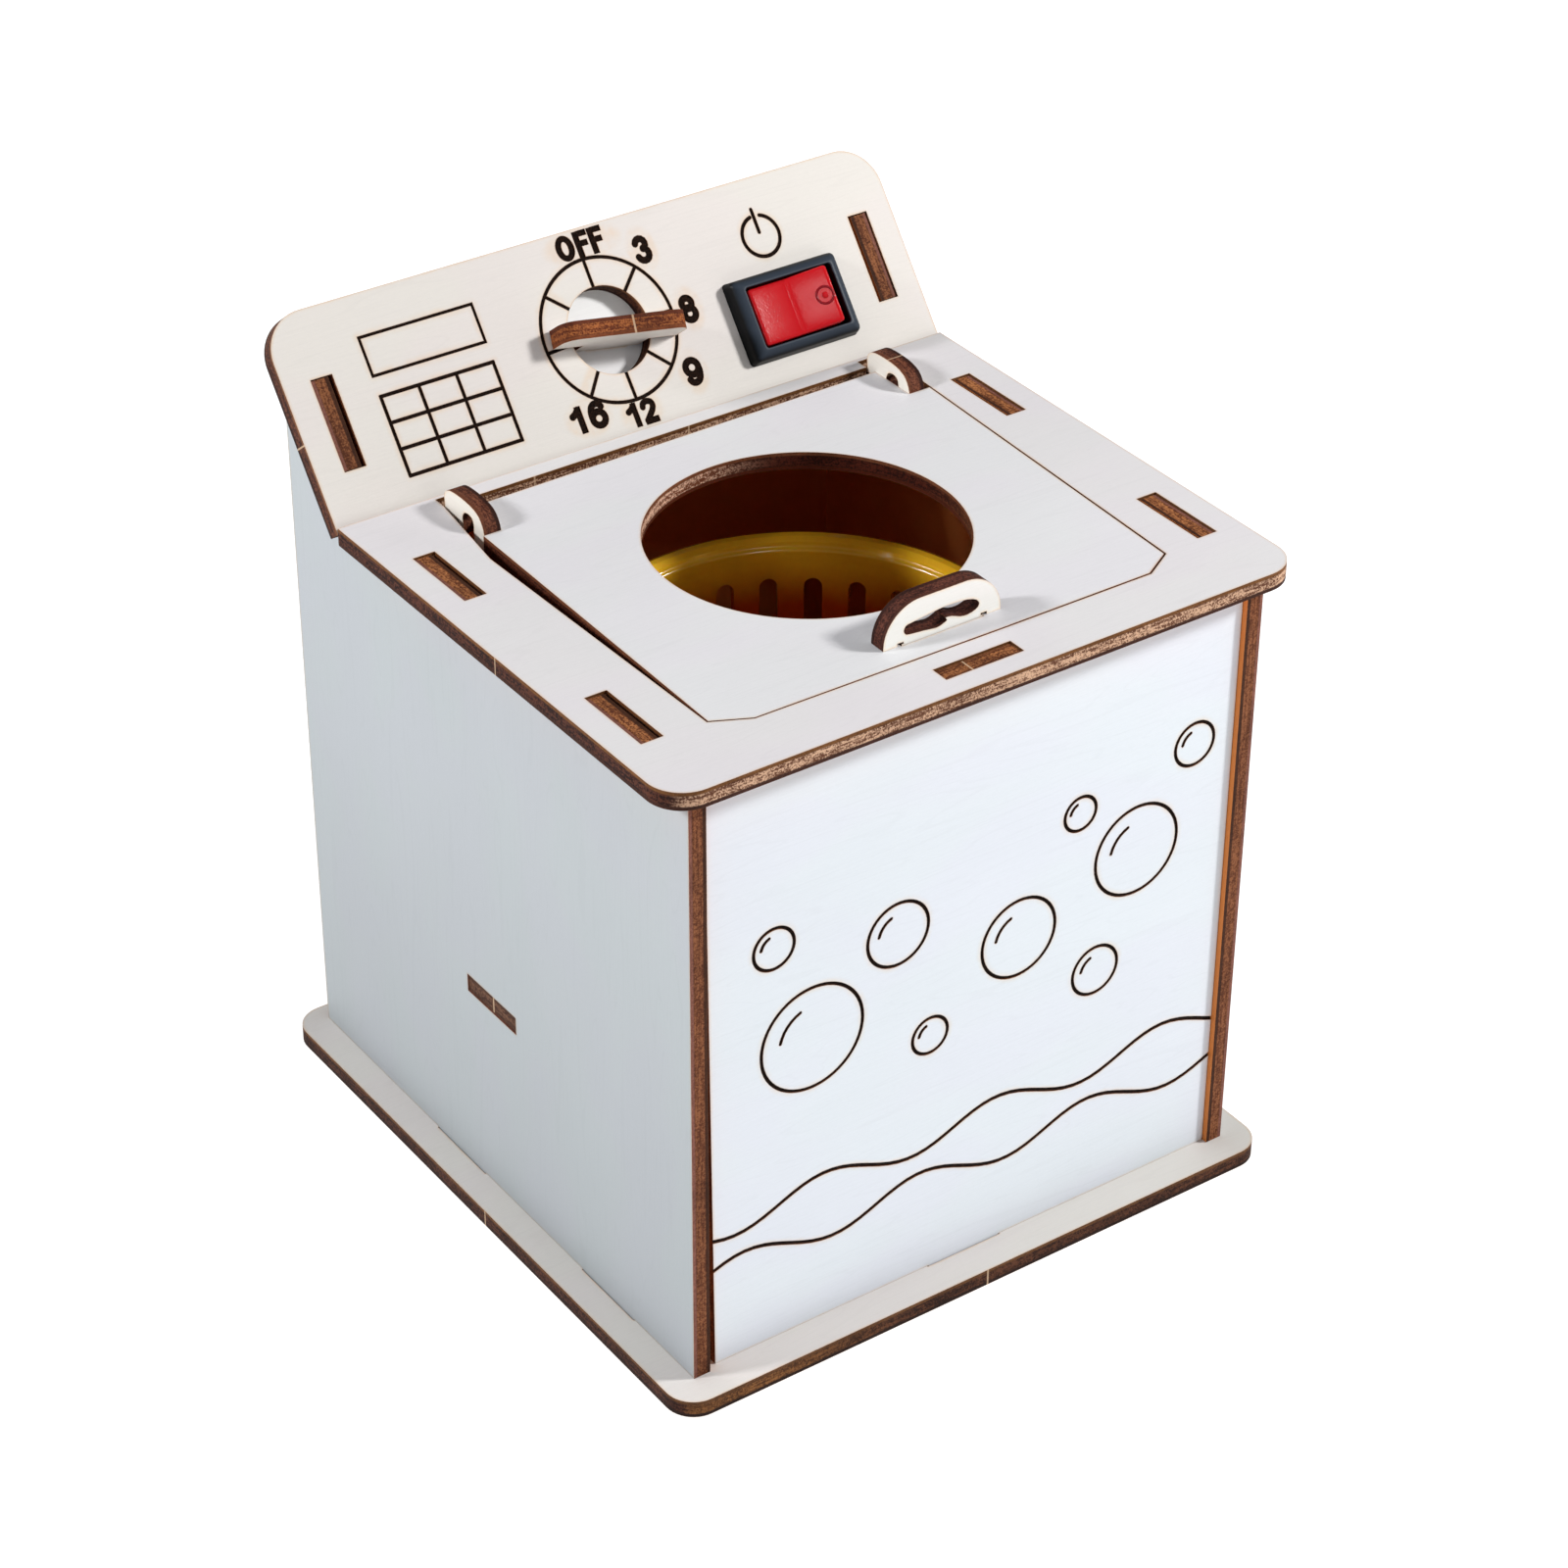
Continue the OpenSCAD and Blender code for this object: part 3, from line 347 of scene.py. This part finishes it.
def panel_halo(m, along, across):
    x, s = m.xyz(m.p)[0], m.sub(m.dot(m.p, PANEL_U), PANEL_P.dot(PANEL_U))
    d = m.frame_line(x, s, -42.3, 20.1, -22.0, 26.4)
    d = m.mini(d, m.comb(x, s, -42.3, 6.767, 3, 3.75, 16.75))
    d = m.mini(d, m.comb(s, x, 3.75, 4.333, 3, -42.3, -22.0))
    d = m.mini(d, m.ring(x, s, -0.6, 16.2, 11.9))
    px, py = m.sub(x, -0.6), m.sub(s, 16.2)
    a = m.math("ARCTAN2", py, px)
    r = m.vec("LENGTH", m.join(px, py))
    k = m.math("ROUND", m.math("DIVIDE", a, math.pi / 4))
    tick = m.mul(r, m.abs(m.math("SINE", m.sub(a, m.mul(k, math.pi / 4)))))
    over = m.maxi(m.maxi(m.sub(r, 11.9), m.sub(7.25, r)), 0.0)
    d = m.mini(d, m.vec("LENGTH", m.join(tick, over)))
    d = m.mini(d, m.ring(x, s, 31.85, 23.45, 3.45))
    for b in LABELS:
        d = m.mini(d, m.maxi(m.blob(x, s, *b), 0.35))
    return d


def front_halo(m, along, across):
    x, z = m.xyz(m.p)[0], m.xyz(m.p)[2]
    d = None
    for level, phase in ((29.0, 30), (20.5, 190)):
        wave = m.mul(m.math("SINE", m.add(m.mul(x, 2 * math.pi / 33), math.radians(phase))), 2.3)
        line = m.abs(m.sub(m.sub(z, level), wave))
        d = line if d is None else m.mini(d, line)
    for b in BUBBLES:
        d = m.mini(d, m.ring(x, z, *b))
    return d


FRONT, LEFT, RIGHT, UP, BACK = (0, -1, 0), (-1, 0, 0), (1, 0, 0), (0, 0, 1), (0, 1, 0)
X, Y, Z = Vector((1, 0, 0)), Vector((0, 1, 0)), Vector((0, 0, 1))
EDGE = (srgb(72, 36, 22), srgb(140, 88, 56))
TENON = (srgb(84, 42, 24), srgb(182, 118, 72))

assign("base_plate", plywood(
    "ply_base", UP, 3, X, srgb(217, 213, 208), (srgb(34, 13, 8), srgb(84, 48, 34)), inner=RAW, char=0.4,
    burn_and_lighting_zones=[(FRONT, srgb(78, 46, 22), srgb(142, 94, 52), (X, -44, -14)), (RIGHT, srgb(60, 34, 22), srgb(110, 70, 44))],
    rims=(srgb(112, 74, 44), srgb(46, 26, 18)),
    marks=[(Vector((0.2, -60.4, 1.7)), X, 0.14), (Vector((-57.5, -2.7, 1.7)), Y, 0.12)]))
# the side panels' faces are set darker than the other plates cut from the same sheet, as painted shade on the sides,
# and get darker still towards the bottom, also painted shade
for side, sx in (("left", -1), ("right", 1)):
    assign("side_panel_" + side, plywood(
        "ply_side_" + side, (sx, 0, 0), 52.3, Z, srgb(179, 184, 187), EDGE, char=0.3, inner=MAROON,
        burn_and_lighting_zones=[(FRONT, srgb(88, 46, 26), srgb(144, 90, 58)), (UP, *TENON)],
        rims=(srgb(142, 92, 78), srgb(74, 42, 26)), painted_shade_ramp=(Z, 95, 5, 0.88)))
assign("front_panel", plywood("ply_front", FRONT, 54.2, X, srgb(223, 228, 234), EDGE, engraved=True, halo=front_halo, inner=MAROON, burn_and_lighting_zones=[(UP, *TENON)],
                              marks=[(Vector((-1.9, -52.7, 112.1)), X, 0.12)]))
assign("back_panel", plywood("ply_back", BACK, 56.6, Z, srgb(228, 229, 230), EDGE, inner=MAROON))
assign("deck_panel", plywood(
    "ply_deck", UP, 112.4, X, srgb(220, 217, 218), (srgb(44, 18, 13), srgb(78, 42, 28)), char=0.2, inner=MAROON,
    contrast=1.7,
    burn_and_lighting_zones=[(FRONT, srgb(98, 60, 42), srgb(212, 172, 142)), (RIGHT, srgb(90, 52, 36), srgb(160, 116, 90)), (LEFT, srgb(34, 11, 7), srgb(88, 48, 34))],
    rims=(srgb(124, 80, 44), srgb(70, 40, 30)),
    marks=[(Vector((-57.2, -12.4, 110.9)), Y, 0.1), (Vector((5.0, 30.1, 111)), X, 0.14), (Vector((-23.9, 30.1, 111)), X, 0.14)]))
assign("lid_panel", plywood(
    "ply_lid", UP, 112.4, X, srgb(221, 220, 222), (srgb(66, 30, 18), srgb(122, 74, 46)), char=0.2, inner=MAROON, contrast=1.3,
    burn_and_lighting_zones=[((0.42, -0.9, 0), srgb(112, 62, 40), srgb(244, 200, 172)), ((-0.8, -0.6, 0), srgb(44, 14, 9), srgb(92, 40, 26))], rims=(srgb(136, 82, 54), srgb(96, 40, 20))))
assign("control_panel", plywood(
    "ply_panel", PANEL_N, PANEL_P.dot(PANEL_N), X, srgb(228, 222, 216), (srgb(66, 34, 22), srgb(120, 76, 50)), engraved=True, halo=panel_halo, char=0.25,
    burn_and_lighting_zones=[(LEFT, srgb(44, 17, 11), srgb(104, 60, 42)), (-PANEL_U, srgb(34, 20, 15), srgb(74, 46, 32))],
    rims=(srgb(128, 82, 52), srgb(54, 28, 20)),
    marks=[(Vector((-57.2, 42.2, 122.5)), PANEL_U, 0.12)]))
assign("motor_shelf", plywood("ply_shelf", UP, 41.3, X, srgb(150, 84, 40), (srgb(60, 34, 24), srgb(114, 80, 60)), inner=RAW, char=0.2,
                              marks=[(Vector((-52.1, 0.9, 39.8)), Y, 0.14)]))
assign("lid_ledge", plywood("ply_ledge", UP, 109.4, X, RAW, EDGE))
# the handle's face is set brighter than the front panel's, which faces the same way: painted light
assign("lid_handle", plywood("ply_handle", FRONT, 43.1, X, srgb(254, 252, 246), (srgb(50, 24, 20), srgb(112, 64, 50)), rims=(srgb(92, 52, 40), srgb(66, 34, 26))))
for side, offset in (("left", 40.0), ("right", -40.2)):
    assign("hinge_hook_" + side, plywood(
        "ply_hook_" + side, LEFT, offset, Y, srgb(248, 242, 232), (srgb(62, 28, 20), srgb(128, 76, 54)), rims=(srgb(112, 64, 44), srgb(58, 28, 20)),
        marks=[(Vector((42.6, 24.6, 115.8)), Y, 0.1)]))
assign("knob_grip", plywood("ply_grip", -GRIP_N, -KNOB.dot(GRIP_N) + 1.5, GRIP_A, srgb(246, 240, 232), (srgb(88, 36, 20), srgb(176, 104, 56)),
                            rims=(srgb(136, 74, 42), srgb(110, 54, 32)), marks=[(KNOB + GRIP_A * 1.1 + PANEL_N * 5.9, GRIP_A, 0.16)]))
assign("knob_disc", plywood("ply_disc", PANEL_N, KNOB.dot(PANEL_N) - 3.35, X, srgb(244, 244, 244), EDGE))


# ------------------------------------------------------------------ plastics and metals
def plastic(name, colour, rough=0.35, mottled=0.04, grit=3.0, coat=0.0, subsurface=0.0, wear=0.25, specular=0.5, depth=0.002, spread=(1.0, 0.6, 0.1), painted_shade_walls=None):
    m = Mat(name)
    spots = m.noise(m.vec("SCALE", m.p, scale=0.35), 1.0, 3.0, 0.55)
    fine = m.noise(m.vec("SCALE", m.p, scale=grit), 1.0, 3.0, 0.6)
    gain = m.add(1.0, m.mul(m.sub(spots, 0.5), mottled * 2))
    base = m.mix(1.0, colour, m.join(gain, gain, gain), "MULTIPLY")
    # painted shade: faces turning away from the panel's outward direction take the darker wall colour
    if painted_shade_walls is not None:
        base = m.mix(m.step(m.dot(m.n, PANEL_N), 0.95, 0.45), base, painted_shade_walls)
    rim = m.step(m.sub(1.0, m.dot(m.bevel_normal(0.0003, 4), m.n)), 0.03, 0.3)
    base = m.mix(m.mul(rim, wear), base, m.mix(0.4, base, (0.8, 0.8, 0.8, 1)))
    m.set(Base_Color=base, Roughness=m.add(rough - 0.06, m.mul(fine, 0.12)), Normal=m.bump(fine, 0.00003, 0.5))
    m.bsdf.inputs["Specular IOR Level"].default_value = specular
    m.bsdf.inputs["Coat Weight"].default_value = coat
    m.bsdf.inputs["Coat Roughness"].default_value = 0.12
    if subsurface:
        m.bsdf.inputs["Subsurface Weight"].default_value = subsurface
        m.bsdf.inputs["Subsurface Radius"].default_value = spread
        m.bsdf.inputs["Subsurface Scale"].default_value = depth
    return m.mat


def metal(name, colour, rough=0.3, axis=(0, 0, 1)):
    m = Mat(name)
    axis = Vector(axis)
    q = m.vec("SUBTRACT", m.p, m.vec("SCALE", Vector(axis), scale=m.mul(m.dot(m.p, axis), 0.92)))
    brush = m.noise(q, 5.0, 3.0, 0.6)
    spots = m.noise(m.vec("SCALE", m.p, scale=0.6), 1.0, 3.0, 0.6)
    base = m.mix(m.mul(m.step(spots, 0.35, 0.75), 0.35), colour, m.mix(1.0, colour, (0.7, 0.68, 0.66, 1), "MULTIPLY"))
    m.set(Base_Color=base, Roughness=m.add(rough - 0.08, m.mul(brush, 0.2)), Normal=m.bump(brush, 0.00002, 0.4))
    m.bsdf.inputs["Metallic"].default_value = 1.0
    return m.mat


STEEL = metal("steel", srgb(196, 198, 200), 0.28)
BRASS = metal("brass", srgb(216, 178, 104), 0.3)
COPPER = metal("copper_winding", srgb(190, 112, 70), 0.35, (1, 0, 0))
# the bezel is one black plastic: the slate colour of its top is painted sheen, the near-black of its walls painted
# shade
BLACK = plastic("switch_black", srgb(52, 60, 71), 0.4, 0.06, 4.0, wear=0.03, specular=0.14, painted_shade_walls=srgb(4, 5, 7))
RED = plastic("rocker_red", srgb(196, 24, 32), 0.14, 0.04, 3.0, wear=0.08, subsurface=0.2, specular=0.15)
MARK = plastic("rocker_mark", srgb(132, 8, 22), 0.25, 0.05, 3.0, wear=0.0, specular=0.2)


def amber():
    """moulded see-through tub, the same all round: deep amber lower down its sides as painted shade, yellow towards the
    thick rim as painted light
    """
    m = Mat("drum_yellow")
    x, y, z = m.xyz(m.p)
    spots = m.noise(m.vec("SCALE", m.p, scale=0.25), 1.0, 3.0, 0.55)
    fine = m.noise(m.vec("SCALE", m.p, scale=1.5), 1.0, 3.0, 0.6)
    # painted light and shade: yellow towards the rim, deep amber lower down
    rim = m.step(m.add(z, m.mul(m.sub(spots, 0.5), 1.6)), 80.0, 91.5)
    base = m.mix(rim, srgb(170, 56, 6), srgb(255, 196, 44))
    base = m.mix(m.mul(m.step(fine, 0.4, 0.7), 0.12), base, m.mix(1.0, base, (0.8, 0.74, 0.6, 1), "MULTIPLY"))
    m.set(Base_Color=base, Roughness=m.add(0.1, m.mul(fine, 0.12)))
    m.set(Normal=m.bump(m.add(m.mul(fine, 0.012), m.step(z, 91.4, 90.2)), 0.0007, 1.0))
    m.bsdf.inputs["Coat Weight"].default_value = 1.0
    m.bsdf.inputs["Coat Roughness"].default_value = 0.06
    m.bsdf.inputs["Subsurface Weight"].default_value = 0.3
    m.bsdf.inputs["Subsurface Radius"].default_value = (1.0, 0.5, 0.08)
    m.bsdf.inputs["Subsurface Scale"].default_value = 0.004
    return m.mat


DRUM = amber()
NYLON = plastic("nylon_white", srgb(232, 232, 226), 0.45, 0.03, 3.0)
BOX = plastic("battery_black", srgb(34, 34, 36), 0.5, 0.06, 5.0)
FOAM = plastic("foam", srgb(150, 150, 150), 0.9, 0.15, 6.0)
LEAD_RED = plastic("lead_red", srgb(186, 24, 24), 0.42, 0.06, 2.0)
LEAD_BLACK = plastic("lead_black", srgb(30, 30, 32), 0.42, 0.06, 2.0)
MAGNET = plastic("magnet", srgb(64, 62, 62), 0.6, 0.12, 5.0)


def cell_sleeve():
    """shrink sleeve with a plain band towards the button"""
    m = Mat("cell_sleeve")
    x, y = m.xyz(m.p)[0], m.xyz(m.p)[1]
    way = m.step(y, 37.2, 37.4, -1.0, 1.0)                  # the two cells lie head to tail
    u = m.mul(x, way)
    scuff = m.noise(m.vec("SCALE", m.p, scale=1.2), 1.0, 4.0, 0.6)
    body = m.mix(m.step(scuff, 0.4, 0.75), srgb(208, 212, 216), srgb(182, 188, 196))
    band = m.mix(m.step(scuff, 0.4, 0.75), srgb(40, 92, 150), srgb(30, 74, 128))
    colour = m.mix(m.step(u, 10.0, 10.2), body, band)
    steel = m.maxi(m.step(u, 25.0, 25.1), m.step(u, -23.2, -23.3))
    colour = m.mix(steel, colour, srgb(190, 192, 194))
    m.set(Base_Color=colour, Metallic=steel, Roughness=m.add(0.25, m.mul(scuff, 0.15)), Normal=m.bump(scuff, 0.00003, 0.3))
    return m.mat


for names, material in (
    ("switch_terminals hub_screws motor_can motor_shaft bracket_screws battery_contacts", STEEL),
    ("hinge_pins", metal("dark_wire", srgb(84, 80, 76), 0.45, (1, 0, 0))), ("motor_bushing motor_terminals switch_contact", BRASS), ("motor_rotor", COPPER), ("switch_housing", BLACK), ("switch_rocker", RED),
    ("drum", DRUM), ("drum_hub motor_end_cap motor_bracket", NYLON), ("battery_box", BOX), ("mounting_pad", FOAM),
    ("lead_battery_switch lead_switch_motor", LEAD_RED), ("lead_battery_motor", LEAD_BLACK), ("motor_magnets", MAGNET), ("aa_cells", cell_sleeve()),
):
    for name in names.split():
        assign(name, material)


# ------------------------------------------------------------------ the switch, moulded
SWITCH = Vector((32.0, 0, 0)) + PANEL_P + PANEL_U * 10.5
PIVOT = SWITCH + PANEL_N * -1.5


def solid(name, rings, material, body, node):
    """a closed mesh through rings of equally many points in mm, its first and last ring capped"""
    verts = [tuple(v * MM) for ring in rings for v in ring]
    k = len(rings[0])
    faces = [tuple(range(k))[::-1], tuple((len(rings) - 1) * k + i for i in range(k))]
    for j in range(len(rings) - 1):
        for i in range(k):
            faces.append((j * k + i, j * k + (i + 1) % k, (j + 1) * k + (i + 1) % k, (j + 1) * k + i))
    me = bpy.data.meshes.new(name)
    me.from_pydata(verts, [], faces)
    bm = bmesh.new()
    bm.from_mesh(me)
    bmesh.ops.recalc_face_normals(bm, faces=bm.faces)
    bm.to_mesh(me)
    bm.free()
    me.materials.append(material)
    for f in me.polygons:
        f.use_smooth = True
    me.set_sharp_from_angle(angle=math.radians(42))
    o = bpy.data.objects.new(name, me)
    scene.collection.objects.link(o)
    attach(o, body)
    if node:
        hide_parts(node)
    return o


def round_ring(w, h, radius, z, steps=7):
    """rounded rectangle of half sizes w and h about the switch, z above the panel"""
    points = []
    for cx, cy, a0 in ((1, 1, 0), (-1, 1, 90), (-1, -1, 180), (1, -1, 270)):
        for k in range(steps + 1):
            a = math.radians(a0 + 90 * k / steps)
            x, y = cx * (w - radius) + radius * math.cos(a), cy * (h - radius) + radius * math.sin(a)
            points.append(SWITCH + Vector((x, 0, 0)) + PANEL_U * y + PANEL_N * z)
    return points


def make_housing():
    profile = [(8.3, 5.1, 0.5, -9.3), (8.3, 5.1, 0.5, 2.9), (8.34, 5.14, 0.52, 3.1), (8.45, 5.22, 0.56, 3.2), (8.62, 5.35, 0.6, 3.23), (9.2, 5.8, 0.68, 3.05)]
    profile += [(9.8, 6.35, 0.75, 2.65), (10.12, 6.66, 0.8, 2.26), (10.28, 6.8, 0.82, 1.95), (10.36, 6.87, 0.82, 1.6), (10.56, 7.05, 0.75, 0.25)]
    profile += [(10.6, 7.1, 0.72, 0.1), (10.55, 7.05, 0.7, 0.02), (9.7, 6.35, 0.6, 0.02), (9.7, 6.35, 0.6, -10.3), (9.5, 6.15, 0.5, -10.5)]
    return solid("switch_bezel", [round_ring(*q) for q in profile], BLACK, "cabinet", "switch_housing")


TILT = math.radians(10)
ROCK_X = Vector((math.cos(TILT), 0, 0)) + PANEL_N * math.sin(TILT)
ROCK_Z = Vector((-math.sin(TILT), 0, 0)) + PANEL_N * math.cos(TILT)


def rock(x, y, z):
    return PIVOT + ROCK_X * x + PANEL_U * y + ROCK_Z * z


def rocker_top(x):
    """height of the worn dish of each half over the rocker's own pivot"""
    t = min(abs(x) / 6.9, 1.0)
    return 4.6 + 1.13 * t ** 1.2 + 0.08 * math.exp(-(x / 0.22) ** 2)


def make_rocker():
    xs = [-6.9, -6.4, -5.6, -4.6, -3.5, -2.4, -1.3, -0.6, -0.34, -0.2, -0.1, 0, 0.1, 0.2, 0.34, 0.6, 1.3, 2.4, 3.5, 4.6, 5.6, 6.4, 6.9]
    top = [(x, rocker_top(x)) for x in xs]
    right = [(7.04, 5.66), (7.13, 5.5), (7.2, 5.2), (7.24, 4), (7.45, 2), (7.65, 0), (7.4, -1)]
    under = [(4, -2), (1, -2), (1, -3.1), (-1, -3.1), (-1, -2), (-4, -2)]
    left = [(-x, z) for x, z in right[::-1]]
    loop = left + top + right + under
    rings = []
    for y, inset in ((-4.8, 0.42), (-4.76, 0.26), (-4.66, 0.12), (-4.5, 0.03), (-4.3, 0.0), (-2, 0.0), (0, 0.0), (2, 0.0), (4.3, 0.0), (4.5, 0.03), (4.66, 0.12), (4.76, 0.26), (4.8, 0.42)):
        rings.append([rock(x * (1 - inset / 8), y, z - inset * (1 if z > 2 else 0)) for x, z in loop])
    body = solid("rocker_cap", rings, RED, "rocker", "switch_rocker")
    # the raised ring and dot of the off side
    slope = math.atan2(rocker_top(6.2) - rocker_top(4.6), 1.6)
    for name, radius, tube, squash in (("rocker_ring", 1.4, 0.2, 0.5), ("rocker_dot", 0.0, 0.55, 0.3)):
        rings = []
        if radius:
            for i in range(40):
                a = 2 * math.pi * i / 40
                rings.append([(radius + tube * math.cos(b)) * Vector((math.cos(a), math.sin(a), 0)) + Vector((0, 0, squash * tube * math.sin(b)))
                              for b in [2 * math.pi * k / 10 for k in range(10)]])
        else:
            for k in range(1, 10):
                b = math.pi * (k / 10 - 0.5)
                rings.append([Vector((tube * math.cos(b) * math.cos(a), tube * math.cos(b) * math.sin(a), squash * tube * math.sin(b)))
                              for a in [2 * math.pi * i / 24 for i in range(24)]])
        placed = [[rock(5.4 + v.x * math.cos(slope) - v.z * math.sin(slope), 0.1 + v.y, rocker_top(5.4) + 0.01 + v.x * math.sin(slope) + v.z * math.cos(slope)) for v in ring]
                  for ring in rings]
        if radius:
            closed_ring(name, placed, MARK, "rocker")
        else:
            solid(name, placed, RED, "rocker", None)
    return body


def closed_ring(name, rings, material, body):
    """a mesh through rings that ends where it began"""
    k, n = len(rings[0]), len(rings)
    verts = [tuple(v * MM) for ring in rings for v in ring]
    faces = [(j * k + i, j * k + (i + 1) % k, (j + 1) % n * k + (i + 1) % k, (j + 1) % n * k + i) for j in range(n) for i in range(k)]
    me = bpy.data.meshes.new(name)
    me.from_pydata(verts, [], faces)
    bm = bmesh.new()
    bm.from_mesh(me)
    bmesh.ops.recalc_face_normals(bm, faces=bm.faces)
    bm.to_mesh(me)
    bm.free()
    me.materials.append(material)
    for f in me.polygons:
        f.use_smooth = True
    o = bpy.data.objects.new(name, me)
    scene.collection.objects.link(o)
    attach(o, body)
    return o


make_housing()
make_rocker()


# ------------------------------------------------------------------ floor and light
def make_stage():
    me = bpy.data.meshes.new("floor")
    s = 8.0
    me.from_pydata([(-s, -s, -0.0003), (s, -s, -0.0003), (s, s, -0.0003), (-s, s, -0.0003)], [], [(0, 1, 2, 3)])
    floor = bpy.data.objects.new("floor", me)
    scene.collection.objects.link(floor)
    m = Mat("floor_white")
    m.set(Base_Color=(0.4, 0.4, 0.4, 1), Roughness=0.9, Specular_IOR_Level=0.1)
    m.set(Emission_Color=(1, 1, 1, 1), Emission_Strength=0.82)
    me.materials.append(m.mat)

    world = bpy.data.worlds.new("world")
    scene.world = world
    world.use_nodes = True
    world.node_tree.nodes["Background"].inputs[0].default_value = (0.97, 0.985, 1.0, 1)
    world.node_tree.nodes["Background"].inputs[1].default_value = 0.2

    def softbox(name, place, size, power, colour=(1, 1, 1), aim=(0, 0, 0.08)):
        data = bpy.data.lights.new(name, "AREA")
        data.shape, data.size, data.size_y, data.energy, data.color = "RECTANGLE", size[0], size[1], power, colour
        light = bpy.data.objects.new(name, data)
        light.location = place
        light.rotation_euler = (Vector(aim) - Vector(place)).to_track_quat("-Z", "Y").to_euler()
        scene.collection.objects.link(light)
    softbox("softbox_key", (0.63, -0.45, 0.62), (0.13, 0.13), 7.6, (1.0, 0.99, 0.975))
    softbox("softbox_left", (-1.0, 0.33, 0.7), (0.18, 0.18), 9.0, (0.985, 0.99, 1.0))
    softbox("softbox_low", (-0.19, -1.03, 1.14), (0.26, 0.2), 1.3, (0.97, 0.985, 1.0))
    softbox("softbox_behind", (-0.35, 1.3, 0.5), (0.8, 0.5), 4.0, (0.99, 0.99, 1.0))
    scene.view_settings.view_transform = "Standard"


make_stage()
